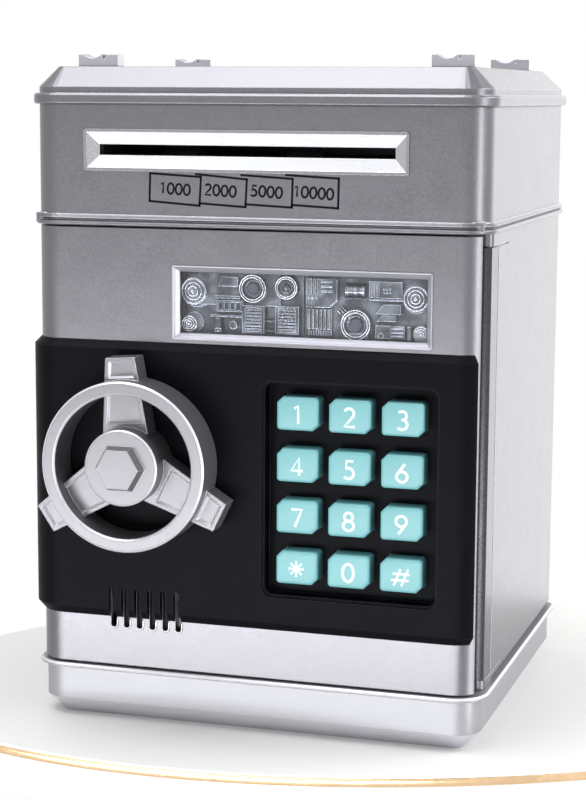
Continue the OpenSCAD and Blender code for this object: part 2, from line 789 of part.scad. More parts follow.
// Two leaf springs that press the pinch shaft down
module pinch_springs() {
    top = pinch_z + feed_shaft_r + 0.1;
    foot_z = top_guide_z + top_guide_t;
    y1 = guide_y1 - 8.2;
    t = 0.4;
    color(steel) for (x = [roller_x[0] + 11, roller_x[1] - 11])
        translate([x + 3, 0, 0]) rotate([90, 0, -90]) linear_extrude(6)
            polygon([[-y1, foot_z], [-y1 + 5.5, foot_z], [-drive_y - 2.6, top], [-drive_y + 3, top],
                [-drive_y + 3, top + t], [-drive_y - 2.8, top + t],
                [-y1 + 5.3, foot_z + t], [-y1, foot_z + t]]);
}

module feeder_screws() {
    color(steel) for (t = feeder_tabs) {
        z = shelf_z + tab_t;
        rod_z(t[0], t[1], screw_r, z - short_screw_l - 0.6, z + eps);
        rod_z(t[0], t[1], screw_head_r - 0.4, z, z + screw_head_h);
    }
}

module drive_shaft() {
    color(steel) rod_x(drive_y, drive_z, feed_shaft_r, guide_x0 - cheek_t - 1.5, gear_x + gear_t + 0.5);
}

// Rubber roller on a moulded core
module roller(x, z, r) {
    difference() {
        union() {
            rod_x(drive_y, z, r, x - roller_w / 2, x + roller_w / 2);
            rod_x(drive_y, z, feed_shaft_r + 1.2, x - roller_w / 2 - 0.6, x + roller_w / 2 + 0.6);
        }
        rod_x(drive_y, z, feed_shaft_r, x - roller_w, x + roller_w);
    }
}

module drive_rollers() {
    color(black) for (x = roller_x) roller(x, drive_z, drive_r);
}

module pinch_rollers() {
    color(black) for (x = roller_x) roller(x, pinch_z, pinch_r);
}

module pinch_shaft() {
    color(steel) rod_x(drive_y, pinch_z, feed_shaft_r, guide_x0 - cheek_t - 1.5, guide_x1 + cheek_t + 1.5);
}

// Direction from the drive gear to the motor, seen along X
mesh_angle = atan2(motor_z - drive_z, motor_y - drive_y);

// A gear about X, its first tooth at the given angle from +Y towards +Z
module gear_x_axis(cy, cz, teeth, m, x0, t, angle, bore, hub_r) {
    translate([x0, cy, cz]) rotate([90, 0, 90]) difference() {
        union() {
            rotate([0, 0, angle]) linear_extrude(t) polygon(gear_points(teeth, m));
            translate([0, 0, -0.6]) cylinder(h = t + 0.6, r = hub_r);
        }
        translate([0, 0, -2]) cylinder(h = t + 4, r = bore);
    }
}

module drive_gear() {
    color("white") difference() {
        gear_x_axis(drive_y, drive_z, drive_teeth, feed_m, gear_x, gear_t, mesh_angle, feed_shaft_r, 3.2);
        for (i = [0 : 4]) rotate_about_x(drive_y, drive_z, i * 72)
            translate([gear_x - 1, drive_pitch_r * 0.58, 0]) rotate([0, 90, 0])
                cylinder(h = gear_t + 2, r = 1.5);
    }
}

module rotate_about_x(cy, cz, a) {
    translate([0, cy, cz]) rotate([a, 0, 0]) children();
}

module motor_pinion() {
    half_pitch = 180 / motor_teeth;
    color("white") gear_x_axis(motor_y, motor_z, motor_teeth, feed_m, gear_x, gear_t,
        mesh_angle + 180 + half_pitch, motor_shaft_r, motor_pitch_r - 1.25 * feed_m);
}

module motor_shaft() {
    color(steel) rod_x(motor_y, motor_z, motor_shaft_r, guide_x1 - 7, gear_x + gear_t + 0.4);
}

// Outer skin of the door, wrapped round both front corners
module door_shell() {
    color(silver) difference() {
        union() {
            intersection() {
                band(-wall, 0, door_z0, door_z1);
                door_slice(skin_end_angle, door_z0 - 1, door_z1 + 1);
            }
            for (p = door_screw_at) rod_y(p[0], p[1], door_boss_r - 0.6, skin_y - eps, door_boss_y - fit);
            difference() {
                rod_y(vent_x, speaker_z, speaker_r + 1.3, skin_y - eps, skin_y + 2.5);
                rod_y(vent_x, speaker_z, speaker_r + fit, skin_y - 1, skin_y + 3);
            }
            for (x = [main_x0 + 4, main_x0 + main_w - 4])
                rod_y(x, main_z0 + main_h / 2, 2.2, skin_y - eps, main_y);
        }
        face_block(win_cx, win_z, win_w - 1, win_h - 1, front_y - 1, skin_y + 1, 0.5);
        face_block(pad_cx, pad_z, pad_w + 2 * pad_wall + 0.3, pad_h + 2 * pad_wall + 0.3,
            front_y - 1, skin_y + 1, pad_r + pad_wall);
        rod_y(wheel_cx, wheel_z, shaft_r + 2 + fit, front_y - 1, skin_y + 1);
        for (p = door_screw_at)
            rod_y(p[0], p[1], door_screw_r + 0.03, door_boss_y - door_screw_l - 1, door_boss_y + 1);
        vent_slots(0);
    }
}

// The speaker's slots with round ends, seen from the front
module vent_slots(cut_in) {
    for (i = [0 : vents - 1]) {
        x = vent_x + (i - (vents - 1) / 2) * vent_pitch;
        face_block(x, (vent_z0 + vent_z1) / 2, vent_w, vent_z1 - vent_z0,
            panel_y - 1, skin_y + 1 - cut_in, vent_w / 2 - 0.01);
    }
}

// Black facing of the door with the keypad's recess
module door_panel() {
    out = panel_t + fit;
    z0 = panel_z0 + panel_slope_low;
    z1 = panel_z1 - panel_slope_top;
    color(black) difference() {
        union() {
            intersection() {
                difference() {
                    union() {
                        slope(fit, panel_z0, out, z0);
                        slab(out, z0 - eps, z1 + eps);
                        slope(out, z1, fit, panel_z1);
                    }
                    slab(fit, panel_z0 - 1, panel_z1 + 1);
                }
                door_slice(panel_end_angle, panel_z0 - 1, panel_z1 + 1);
            }
            face_block(pad_cx, pad_z, pad_w + 2 * pad_wall, pad_h + 2 * pad_wall,
                panel_y + panel_t - 0.5, floor_back_y, pad_r + pad_wall);
            for (sx = [-1, 1], sz = [-1, 1]) {
                rod_y(pad_cx + sx * post_x, pad_z + sz * post_z, post_r, floor_back_y - eps, board_y - 0.05);
                rod_y(pad_cx + sx * post_x, pad_z + sz * post_z, pin_r, floor_back_y, board_y + board_t + 0.3);
            }
        }
        face_block(pad_cx, pad_z, pad_w, pad_h, panel_y - 1, panel_y + 1.2, pad_r);
        face_block(pad_cx, pad_z, pad_w - 1.2, pad_h - 1.2, panel_y, floor_y, pad_r - 0.6);
        for (c = [-1 : 1], r = [0 : 3])
            face_block(pad_cx + c * key_dx, pad_z + (1.5 - r) * key_dz, key_w + 0.4, key_h + 0.4,
                floor_y - 1, floor_back_y + 1, 1.2);
        rod_y(wheel_cx, wheel_z, shaft_r + 2 + fit, panel_y - 1, front_y + 1);
        vent_slots(0);
    }
}

// Bright frame of the window, sloping in to the lens
module window_bezel() {
    color(bright) difference() {
        union() {
            face_block(win_cx, win_z, win_w, win_h, front_y - 0.5, front_y, 0.6);
            face_block(win_cx, win_z, win_w - 1.2, win_h - 1.2, front_y - eps, skin_y, 0.4);
        }
        hull() {
            face_block(win_cx, win_z, win_w - 0.6, win_h - 0.6, front_y - 0.5 - eps, front_y - 0.5);
            face_block(win_cx, win_z, clear_w, clear_h, front_y + 1.2, front_y + 1.2 + eps);
        }
        face_block(win_cx, win_z, clear_w, clear_h, front_y, skin_y + 1);
    }
}

// Clear pane, held behind the bezel by its flange
module window_lens() {
    color([0.8, 0.9, 1.0, 0.4]) {
        face_block(win_cx, win_z, clear_w - 2 * fit, clear_h - 2 * fit, front_y + 1.4, lens_y1 + eps);
        face_block(win_cx, win_z, clear_w + 1.6, clear_h + 1.6, lens_y1, lens_y1 + 0.8);
    }
}

// Disc with concentric steps, as on a dial
module ring_disc(x, z, r, y, rise) {
    rings = 3;
    translate([win_cx + x, y, win_z + z]) rotate([90, 0, 0]) rotate_extrude()
        polygon([[0, -eps], [r, -eps], [r, rise * 0.55],
            for (i = [0 : rings - 1]) each [[r * (0.9 - 0.27 * i), rise * (0.55 + 0.15 * i)],
                [r * (0.82 - 0.27 * i), rise * (0.40 + 0.15 * i)],
                [r * (0.70 - 0.27 * i), rise * (0.40 + 0.15 * i)],
                [r * (0.66 - 0.27 * i), rise * (0.70 + 0.15 * i)]],
            [0, rise]]);
}

// Seat for a round lamp: a collar with a sunk floor
module lamp_collar(x, z, r, y, rise) {
    difference() {
        rod_y(win_cx + x, win_z + z, r, y - rise, y + eps);
        rod_y(win_cx + x, win_z + z, r * 0.78, y - rise - 1, y - rise * 0.45);
    }
}

// Louvre with a frame and slats
module louvre(x, z, w, h, y, rise) {
    slats = 7;
    difference() {
        face_block(win_cx + x, win_z + z, w, h, y - rise, y + eps);
        face_block(win_cx + x, win_z + z, w * 0.72, h * 0.84, y - rise - 1, y - rise * 0.3);
    }
    for (i = [0 : slats - 1])
        face_block(win_cx + x, win_z + z + (i - (slats - 1) / 2) * h * 0.84 / slats, w * 0.74, h * 0.06,
            y - rise * 0.85, y);
}

module ribs(x, z, w, h, count, y, rise) {
    for (i = [0 : count - 1])
        face_block(win_cx + x + (i - (count - 1) / 2) * w / count, win_z + z,
            w / count * 0.55, h, y - rise, y + eps);
}

module step_block(x, z, w, h, y, rise) {
    face_block(win_cx + x, win_z + z, w, h, y - rise, y + eps);
}

// Tapered raised plate, narrower at its top
module taper_block(x, z, w, h, cut, y, rise) {
    translate([win_cx + x, y + eps, win_z + z]) rotate([90, 0, 0]) linear_extrude(rise)
        polygon([[-w / 2, -h / 2], [w / 2, -h / 2], [w / 2, h / 2], [-w / 2 + cut, h / 2]]);
}

lamp_a = [-14.3, 4.1, 3.8];
lamp_b = [14.4, -4.6, 4.1];

// Moulded relief of machinery behind the window
module window_relief() {
    y = relief_y;
    color(bright) difference() {
        union() {
            face_block(win_cx, win_z, clear_w + 2 * relief_rim, clear_h + relief_rim, y, y + relief_t);
            difference() {
                face_block(win_cx, win_z, clear_w + 2 * relief_rim, clear_h + relief_rim,
                    lens_y1 + 0.9, y + eps);
                face_block(win_cx, win_z, clear_w + 0.4, clear_h + 0.2, lens_y1, y + 1);
            }
            step_block(-18.4, 4.2, 23.4, 9.6, y, 0.7);
            rod_y(win_cx - 30.4, win_z + 2.9, 4.4, y - 0.6, y);
            ring_disc(-31.2, 2.9, 3.7, y - 0.5, 1.5);
            rod_y(win_cx - 31.2, win_z - 5.5, 2.7, y - 0.6, y);
            ring_disc(-32.4, -6, 2.2, y - 0.5, 1.3);
            taper_block(-21.2, 5.8, 5.6, 2.6, 1.1, y - 0.6, 1);
            step_block(-21.4, 1.6, 7, 0.7, y - 0.6, 0.8);
            difference() {
                step_block(-20.8, -0.8, 7.4, 3, y, 1.5);
                for (i = [0 : 3]) step_block(-23.3 + 1.65 * i, -0.8, 1.1, 2, y - 0.9, 1);
            }
            step_block(-22, -3.6, 9, 0.5, y, 0.9);
            rod_z(win_cx - 24.3, y - 0.6, 1.1, win_z - 7.2, win_z - 4.2);
            rod_z(win_cx - 24.3, y - 0.6, 1.5, win_z - 7.8, win_z - 6.9);
            rod_y(win_cx - 19.8, win_z - 5.9, 1.1, y - 1.4, y);
            lamp_collar(lamp_a[0], lamp_a[1], lamp_a[2], y, 1.6);
            lamp_collar(-4.9, 4.6, 3.1, y - 0.6, 0.8);
            translate([win_cx - 4.9, y - 0.9, win_z + 4.6]) sphere(1.3);
            louvre(-14.1, -4.2, 6.2, 7.4, y, 1.5);
            louvre(-4.6, -4.1, 6.6, 7.4, y, 1.5);
            for (z = [-4.6, -7.3]) rod_x(y - 0.5, win_z + z, 0.45, win_cx - 11.2, win_cx - 7.8);
            difference() {
                taper_block(4.9, 3.5, 8.6, 7.6, 0, y, 1.2);
                for (i = [0 : 2]) step_block(1.4 + 1.05 * i, 5.2, 0.35, 4.2, y - 0.9, 1);
                translate([win_cx + 9.2, y, win_z - 0.3]) rotate([0, 45, 0])
                    cube([2.8, 8, 2.8], center = true);
            }
            for (i = [0 : 2]) step_block(6.4, 6.6 - 1.25 * i, 3.1, 0.5, y - 1.1, 0.5);
            for (i = [0 : 2]) rod_y(win_cx + 1.4 + 1.05 * i, win_z + 2.2, 0.28, y - 1.6, y - 1.1);
            step_block(4.2, -3.5, 7, 5.4, y, 0.7);
            ribs(4.2, -3.5, 6.6, 5.2, 6, y - 0.6, 0.6);
            ribs(4.4, -7.2, 6.8, 1.4, 10, y, 0.8);
            for (i = [0 : 2]) translate([win_cx + 9.2 + 0.55 * i, y - 0.6, win_z - 0.9 + 0.55 * i])
                rotate([0, 45, 0]) rod_x(0, 0, 0.28, 0, 3.6);
            rod_x(y + 0.3, win_z + 4.4, 2, win_cx + 11.6, win_cx + 16.8);
            for (dx = [11.6, 14, 16.2]) rod_x(y + 0.3, win_z + 4.4, 2.2, win_cx + dx, win_cx + dx + 0.6);
            difference() {
                taper_block(22.4, 4.9, 9, 4.4, 0, y, 0.9);
                for (i = [0 : 2]) step_block(18.8 + 0.8 * i, 4.9, 0.3, 3.4, y - 0.7, 1);
            }
            for (i = [0 : 2], k = [0 : 1])
                rod_y(win_cx + 22 + 0.8 * i, win_z + 4.2 + 0.9 * k, 0.25, y - 1.2, y - 0.8);
            step_block(22.6, 2.2, 9.4, 0.4, y, 1.1);
            lamp_collar(lamp_b[0], lamp_b[1], lamp_b[2], y, 1.6);
            step_block(lamp_b[0], -7.5, 6.6, 1.2, y, 1.3);
            taper_block(23.2, -0.2, 7, 2.6, 2.2, y, 1.2);
            taper_block(22.6, -2.6, 5, 1.6, 1.4, y, 0.8);
            step_block(22, -6.2, 4.2, 3.4, y, 1.5);
            rod_y(win_cx + 21.4, win_z - 7.2, 0.8, y - 1.8, y - 1.4);
            step_block(26, -6.2, 3.4, 3.2, y, 1.1);
            for (i = [0 : 2]) step_block(25.8, -5.2 - 1 * i, 3, 0.4, y - 1, 0.5);
            rod_z(win_cx + 28.9, y - 0.6, 0.9, win_z - 8, win_z - 4.6);
            rod_y(win_cx + 30.7, win_z + 3, 4, y - 0.5, y);
            ring_disc(30.7, 2.9, 3.5, y - 0.4, 1.5);
            ring_disc(32.1, -6.5, 2.2, y, 1.3);
        }
        step_block(-0.1, 0, 0.7, clear_h - 1, y + 0.5, 3);
        for (p = [lamp_a, lamp_b]) rod_y(win_cx + p[0], win_z + p[1], p[2] * 0.5 + fit, y - 3, y + 3);
    }
}

// Two lamps whose domes stand in the relief's collars
module led_lamps() {
    color("lightsteelblue") for (p = [lamp_a, lamp_b]) {
        r = p[2] * 0.5;
        rod_y(win_cx + p[0], win_z + p[1], r, relief_y - 0.3, relief_y + relief_t + 2.4);
        rod_y(win_cx + p[0], win_z + p[1], r + 0.5, relief_y + relief_t + 0.05, relief_y + relief_t + 1);
        intersection() {
            translate([win_cx + p[0], relief_y - 0.3, win_z + p[1]]) sphere(r);
            box(-far, far, relief_y - 1.6, relief_y + 1, 0, far);
        }
    }
}

// Rubber mat with a dome behind each key
module key_mat() {
    color([0.75, 0.75, 0.75]) {
        face_block(pad_cx, pad_z, 2 * post_x - 2 * post_r - 0.4, pad_h - 2.6,
            mat_y + dome_h, mat_y + dome_h + mat_t, 1);
        for (c = [-1 : 1], r = [0 : 3])
            translate([pad_cx + c * key_dx, mat_y + dome_h + eps, pad_z + (1.5 - r) * key_dz])
                rotate([90, 0, 0]) cylinder(h = dome_h + eps, r1 = 4, r2 = 2.6);
    }
}

module keypad_board() {
    color(green) difference() {
        face_block(pad_cx, pad_z, pad_w + 1.2, pad_h - 1, board_y, board_y + board_t, 1);
        for (sx = [-1, 1], sz = [-1, 1])
            rod_y(pad_cx + sx * post_x, pad_z + sz * post_z, pin_r + run, board_y - 1, board_y + board_t + 1);
    }
}

// Control board with its chip, capacitor, sounder and two sockets
module main_board() {
    y1 = main_y + main_t;
    mid_z = main_z0 + main_h / 2;
    chip = 8;
    chip_in = 34;
    cap_in = 18;
    sounder_in = 10;
    cap_r = 2.6;
    cap_l = 6;
    sounder_r = 3.4;
    sounder_l = 3;
    socket = [3.6, 4, 10];
    color(green) {
        box(main_x0, main_x0 + main_w, main_y, y1, main_z0, main_z0 + main_h);
        box(main_x0 + main_w - chip_in, main_x0 + main_w - chip_in + chip, y1 - eps, y1 + 1.6,
            mid_z - chip / 2, mid_z + chip / 2);
        rod_y(main_x0 + main_w - cap_in, mid_z, cap_r, y1 - eps, y1 + cap_l);
        rod_y(main_x0 + main_w - sounder_in, mid_z, sounder_r, y1 - eps, y1 + sounder_l);
        for (x = [8, 13]) box(main_x0 + x, main_x0 + x + socket[0], y1 - eps, y1 + socket[1],
            mid_z - socket[2] / 2, mid_z + socket[2] / 2);
    }
}

module speaker() {
    color(black) {
        rod_y(vent_x, speaker_z, speaker_r, skin_y + 0.1, skin_y + 1.6);
        rod_y(vent_x, speaker_z, speaker_r - 1.4, skin_y + 1.6 - eps, skin_y + 3);
        rod_y(vent_x, speaker_z, 5.4, skin_y + 3 - eps, skin_y + 5);
    }
}

// Flanged bush that the handwheel's shaft turns in
module wheel_bush() {
    color(bright) difference() {
        union() {
            rod_y(wheel_cx, wheel_z, shaft_r + 2, panel_y + 0.1, skin_y + 1);
            rod_y(wheel_cx, wheel_z, shaft_r + 4, skin_y + 0.05, skin_y + 1.6);
        }
        rod_y(wheel_cx, wheel_z, shaft_r + run, panel_y - 1, skin_y + 3);
    }
}

// Inner half of the door: a tray with the hinge barrel, guides and screw posts
module door_liner() {
    w = liner_x1 - liner_x0;
    h = liner_z1 - liner_z0;
    cx = (liner_x0 + liner_x1) / 2;
    cz = (liner_z0 + liner_z1) / 2;
    r = 4;
    color(silver) difference() {
        union() {
            difference() {
                face_block(cx, cz, w, h, liner_y0, liner_y1, r);
                face_block(cx, cz, w - 2 * liner_t, h - 2 * liner_t, liner_y0 - 1, liner_in_y, r - liner_t);
            }
            for (p = door_screw_at) rod_y(p[0], p[1], door_boss_r, door_boss_y, liner_in_y + eps);
            intersection() {
                rod_z(hinge_x, hinge_y, barrel_r, barrel_z0, barrel_z1);
                box(0, hw, -far, far, 0, far);
            }
            box(liner_x1 - 0.5, hinge_x, hinge_y - 2.4, hinge_y + 2.4, liner_z0 + 2, liner_z1 - 2);
            lock_guides();
            for (p = lock_posts) rod_y(p[0], p[1], lock_post_r, frame_plate_y1, liner_in_y + eps);
            rod_y(wheel_cx, wheel_z, tail_r + 2.4, bolt_y1 + 0.4, liner_in_y + eps);
        }
        rod_z(hinge_x, hinge_y, hinge_pin_r + run, barrel_z0 - 1, barrel_z0 + 7);
        rod_z(hinge_x, hinge_y, hinge_pin_r + run, barrel_z1 - 7, barrel_z1 + 1);
        for (p = door_screw_at) {
            rod_y(p[0], p[1], door_boss_r - 0.9, door_boss_y + door_seat_t, liner_y1 + 1);
            rod_y(p[0], p[1], door_screw_r + fit, door_boss_y - 1, liner_y1 + 1);
        }
        rod_y(wheel_cx, wheel_z, tail_r + run, bolt_y1 - 1, liner_y1 + 1);
        for (p = lock_posts) rod_y(p[0], p[1], 0.83, frame_plate_y1 - 1, frame_plate_y1 + 4);
        box(liner_x0 - 1, liner_x0 + liner_t + 1, bolt_y0 - 2 * slide, bolt_y1 + 2 * slide,
            bolt_z0 - 2 * slide, bolt_top + 2 * slide);
        box(box_x - box_in_w / 2 - box_wall - fit, box_x + box_in_w / 2 + box_wall + fit,
            liner_in_y - 1, liner_y1 + 1,
            box_z - box_in_h / 2 - box_wall - fit, box_z + box_in_h / 2 + box_wall + fit);
    }
}

// Ribs on the liner that the latch bolt slides between
module lock_guides() {
    x_far = bolt_end_x - bolt_travel - 1;
    gap0 = plunger_x - 2.8;
    gap1 = plunger_x + 2.8;
    y0 = bolt_y0 + 0.3;
    y1 = liner_in_y + eps;
    x_in = liner_x0 + liner_t - eps;
    low0 = bolt_z0 - slide - 1.6;
    low1 = bolt_z0 - slide;
    box(x_in, gap0, y0, y1, low0, low1);
    box(gap1, x_far, y0, y1, low0, low1);
    box(x_in, wheel_cx - 12.2, y0, y1, bolt_top + slide, bolt_top + slide + 1.6);
    for (x = [x_in, gap1]) box(x, x + 4, bolt_y1 + slide, y1, bolt_z0 + 0.5, bolt_top - 0.5);
}

// Plate over the lock that carries the shaft beside the pinion
module lock_frame() {
    y1 = frame_plate_y1;
    y0 = y1 - frame_plate_t;
    x0 = lock_posts[1][0] - 3.5;
    x1 = lock_posts[0][0] + 3.5;
    z1 = lock_posts[0][1] + 3.5;
    z0 = bolt_z0 + 0.8;
    color(steel) difference() {
        union() {
            box(x0, x1, y0, y1, z0, z1);
            rod_y(wheel_cx, wheel_z, tail_r + 2, y0 - 1, y0 + eps);
            box(x0, x1, y0 - 2, y0 + eps, z1 - 1, z1);
        }
        rod_y(wheel_cx, wheel_z, tail_r + run, y0 - 2, y1 + 1);
        for (p = lock_posts) rod_y(p[0], p[1], 0.95, y0 - 1, y1 + 1);
        box(x0 - 1, plunger_x + 5, y0 - 3, y1 + 1, z0 - 1, bolt_z0 + 3);
    }
}

// Solenoid that moves the plunger: a bent yoke round a coil
module lock_solenoid() {
    z0 = solenoid_top - solenoid_h;
    x0 = plunger_x - solenoid_w / 2;
    x1 = plunger_x + solenoid_w / 2;
    t = 1;
    color(steel) difference() {
        union() {
            box(x0, x1, solenoid_y0, solenoid_y1, z0, z0 + t);
            box(x0, x1, solenoid_y0, solenoid_y1, solenoid_top - t, solenoid_top);
            box(x0, x1, solenoid_y1 - t, solenoid_y1, z0, solenoid_top);
            rod_z(plunger_x, bolt_my, 3.7, z0 + t - eps, solenoid_top - t + eps);
        }
        rod_z(plunger_x, bolt_my, plunger_r + 0.06, z0 + 3, solenoid_top + 1);
    }
}

module solenoid_plunger() {
    z0 = solenoid_top - solenoid_h + 3.5;
    color(steel) {
        rod_z(plunger_x, bolt_my, plunger_r, z0, plunger_top);
        rod_z(plunger_x, bolt_my, plunger_r + 0.4, solenoid_top + 2.4, solenoid_top + 3.2);
    }
}

module plunger_spring() {
    wire = 0.2;
    color(steel) translate([plunger_x, bolt_my, solenoid_top + wire + 0.05])
        coil(plunger_r + 0.06 + wire * 1.2, wire, 0.55, 3);
}

// Battery box, open to the rear, with rails for its cover
module battery_box() {
    w = box_in_w + 2 * box_wall;
    h = box_in_h + 2 * box_wall;
    color(black) difference() {
        union() {
            face_block(box_x, box_z, w, h, box_y0, box_y1);
            face_block(box_x, box_z, w + 2 * box_flange, h + 2 * box_flange, liner_in_y - 1.1, liner_in_y - 0.1);
            for (s = [-1, 1]) {
                x0 = box_x + s * (w / 2 - box_wall / 2);
                box(x0 - box_wall / 2, x0 + box_wall / 2, box_y1 - eps, rail_y + rail_t,
                    box_z - h / 2, box_z + h / 2);
                x1 = box_x + s * (w / 2 - box_wall - rail_lip / 2);
                box(x1 - rail_lip / 2 - eps, x1 + rail_lip / 2 + eps, rail_y, rail_y + rail_t,
                    box_z - h / 2, box_z + h / 2);
            }
            box(box_x - w / 2, box_x + w / 2, box_y1 - eps, rail_y + rail_t,
                box_z + h / 2 - 0.8, box_z + h / 2);
        }
        face_block(box_x, box_z, box_in_w, box_in_h, box_y0 + box_wall, box_y1 + 1);
    }
}

module battery_cells() {
    color([0.25, 0.3, 0.35]) for (i = [0 : cells - 1]) {
        z = box_z + (i - (cells - 1) / 2) * cell_dz;
        s = i % 2 == 0 ? 1 : -1;
        rod_x(cell_y, z, cell_r, box_x - cell_l / 2 + 0.7, box_x + cell_l / 2 - 0.7);
        rod_x(cell_y, z, 2.7, min(box_x, box_x + s * cell_l / 2), max(box_x, box_x + s * cell_l / 2));
    }
}

// Contact plates at the ends of the batteries, each with its button or cone
module battery_contacts() {
    color(bright) for (i = [0 : cells - 1], s = [-1, 1]) {
        z = box_z + (i - (cells - 1) / 2) * cell_dz;
        x = box_x + s * box_in_w / 2;
        positive = (i % 2 == 0) == (s > 0);
        box(min(x, x - s * 0.4), max(x, x - s * 0.4), cell_y - 5, cell_y + 5, z - 5, z + 5);
        tip = positive ? 1.1 : 1.8;
        translate([x - s * 0.35, cell_y, z]) rotate([0, -s * 90, 0])
            cylinder(h = tip, r1 = positive ? 2 : 3.4, r2 = positive ? 1.6 : 2);
    }
}

module door_screws() {
    color(steel) {
        for (p = door_screw_at) {
            y = door_boss_y + door_seat_t;
            rod_y(p[0], p[1], door_screw_r, door_boss_y - door_screw_l, y + eps);
            rod_y(p[0], p[1], door_boss_r - 1.2, y, y + 1.4);
        }
        for (p = lock_posts) {
            y = frame_plate_y1 - frame_plate_t;
            rod_y(p[0], p[1], 0.8, y - eps, y + 4);
            rod_y(p[0], p[1], 1.7, y - 1.1, y);
        }
    }
}

// Sliding cover of the battery box, with a ribbed thumb place
module battery_cover() {
    w = box_in_w - 2 * slide;
    z1 = box_z + box_in_h / 2 + box_wall - 0.8 - slide;
    z0 = box_z - box_in_h / 2 - box_wall;
    color(black) {
        face_block(box_x, (z0 + z1) / 2, w, z1 - z0, cover_y0, cover_y0 + cover_t);
        for (i = [0 : 4])
            face_block(box_x, z0 + 5 + 1.8 * i, 16, 0.8, cover_y0 + cover_t - eps, cover_y0 + cover_t + 0.7);
    }
}

// Half the width of a spoke at a distance from the axis
function spoke_half(x) = (spoke_w0 + (spoke_w1 - spoke_w0) * (x - hub_r) / (spoke_reach - hub_r)) / 2;

// Outline of a spoke's field from x0 to x1, drawn in by edge at its sides
function spoke_points(x0, x1, edge = 0) = [[x0, edge - spoke_half(x0)], [x1, edge - spoke_half(x1)],
    [x1, spoke_half(x1) - edge], [x0, spoke_half(x0) - edge]];

// One spoke of the handwheel, along +X before it is turned: two sunk fields with raised edges
module spoke() {
    edge = 1;
    sink = 0.7;
    run = 0.5;
    fields = [[hub_r + 1, ring_r - ring_w + 1], [ring_r + 0.4, spoke_reach - edge]];
    difference() {
        translate([0, spoke_back_y, 0]) rotate([90, 0, 0]) linear_extrude(spoke_back_y - spoke_front_y)
            polygon(spoke_points(hub_r - 2, spoke_reach));
        for (f = fields) hull() {
            translate([0, spoke_front_y, 0]) rotate([90, 0, 0]) linear_extrude(eps)
                polygon(spoke_points(f[0], f[1], edge));
            translate([0, spoke_front_y + sink, 0]) rotate([90, 0, 0]) linear_extrude(eps)
                polygon(spoke_points(f[0] + run, f[1] - run, edge + run));
        }
    }
}

// Ring of the handwheel with its edges broken
module wheel_ring() {
    inner = ring_r - ring_w;
    translate([0, wheel_back_y, 0]) rotate([90, 0, 0]) rotate_extrude()
        polygon([[inner, 0.3], [inner + 0.3, 0], [ring_r - 0.3, 0], [ring_r, 0.3],
            [ring_r, ring_d - 0.5], [ring_r - 0.5, ring_d], [inner + 0.5, ring_d], [inner, ring_d - 0.5]]);
}

// Three-spoked handwheel with a hexagonal boss on its hub
module handwheel() {
    hub_edge = 0.4;
    hub_l = wheel_back_y - hub_front_y;
    color(silver) translate([wheel_cx, 0, wheel_z]) difference() {
        union() {
            wheel_ring();
            for (a = [90, 210, 330]) rotate([0, -a - wheel_lean, 0]) spoke();
            translate([0, wheel_back_y, 0]) rotate([90, 0, 0]) rotate_extrude()
                polygon([[0, 0], [hub_r, 0], [hub_r, hub_l - hub_edge],
                    [hub_r - hub_edge, hub_l], [0, hub_l]]);
            translate([0, hub_front_y + eps, 0]) rotate([90, 0, 0])
                linear_extrude(hub_front_y - hex_front_y, scale = 0.86) circle(r = 7, $fn = 6);
        }
        rod_y(0, 0, shaft_r, hub_front_y + 3, wheel_back_y + 1);
    }
}

// Stepped shaft from the handwheel's hub to the rear of the liner
module wheel_shaft() {
    step_y = frame_plate_y1 - frame_plate_t - 2;
    color(steel) {
        rod_y(wheel_cx, wheel_z, shaft_r, hub_front_y + 3.1, step_y);
        rod_y(wheel_cx, wheel_z, tail_r, step_y - eps, liner_y1 + 1.4);
    }
}

// Pinion on the shaft's tail, a tooth's middle pointing down at rest
module latch_pinion() {
    y0 = bolt_y0 + 0.1;
    y1 = bolt_y1;
    color("white") translate([wheel_cx, y1, wheel_z]) rotate([90, 0, 0]) difference() {
        rotate([0, 0, -90]) linear_extrude(y1 - y0) polygon(gear_points(latch_teeth, latch_m));
        translate([0, 0, -1]) cylinder(h = y1 - y0 + 2, r = tail_r);
    }
}

module wheel_clip() {
    color(steel) difference() {
        rod_y(wheel_cx, wheel_z, 3, liner_y1 + 0.1, liner_y1 + 0.9);
        rod_y(wheel_cx, wheel_z, tail_r, liner_y1 - 1, liner_y1 + 2);
    }
}

// Bolt with a rack on its upper edge and two notches for the plunger in its lower edge
module latch_bolt() {
    first = floor(-5 / (PI * latch_m)) ;
    count = 5;
    color(bright) difference() {
        union() {
            box(bolt_tip_x, bolt_end_x, bolt_y0, bolt_y1, bolt_z0, bolt_top);
            translate([wheel_cx + (first + 1.5) * PI * latch_m, bolt_y1, wheel_z - latch_r]) rotate([90, 0, 0])
                linear_extrude(bolt_t) rack_teeth(latch_m, count);
        }
        for (x = [plunger_x, plunger_x + bolt_travel])
            box(x - notch_w / 2, x + notch_w / 2, bolt_y0 - 1, bolt_y1 + 1,
                bolt_z0 - 1, bolt_z0 + plunger_travel - 0.2);
    }
}

// Points of a key's outline: cut at its upper left and lower right, rounded at the other two
function arc_points(cx, cz, r, a0, n = 4) =
    [for (i = [0 : n]) [cx + r * cos(a0 + 90 * i / n), cz + r * sin(a0 + 90 * i / n)]];

function key_points(grow = 0) =
    let (w = key_w / 2 + grow, h = key_h / 2 + grow, r = 0.9)
    concat([[w, -h + 1.5]], arc_points(w - r, h - r, r, 0), [[-w + 1.9, h], [-w, h - 1.4]],
        arc_points(-w + r, -h + r, r, 180), [[w - 1.8, -h]]);

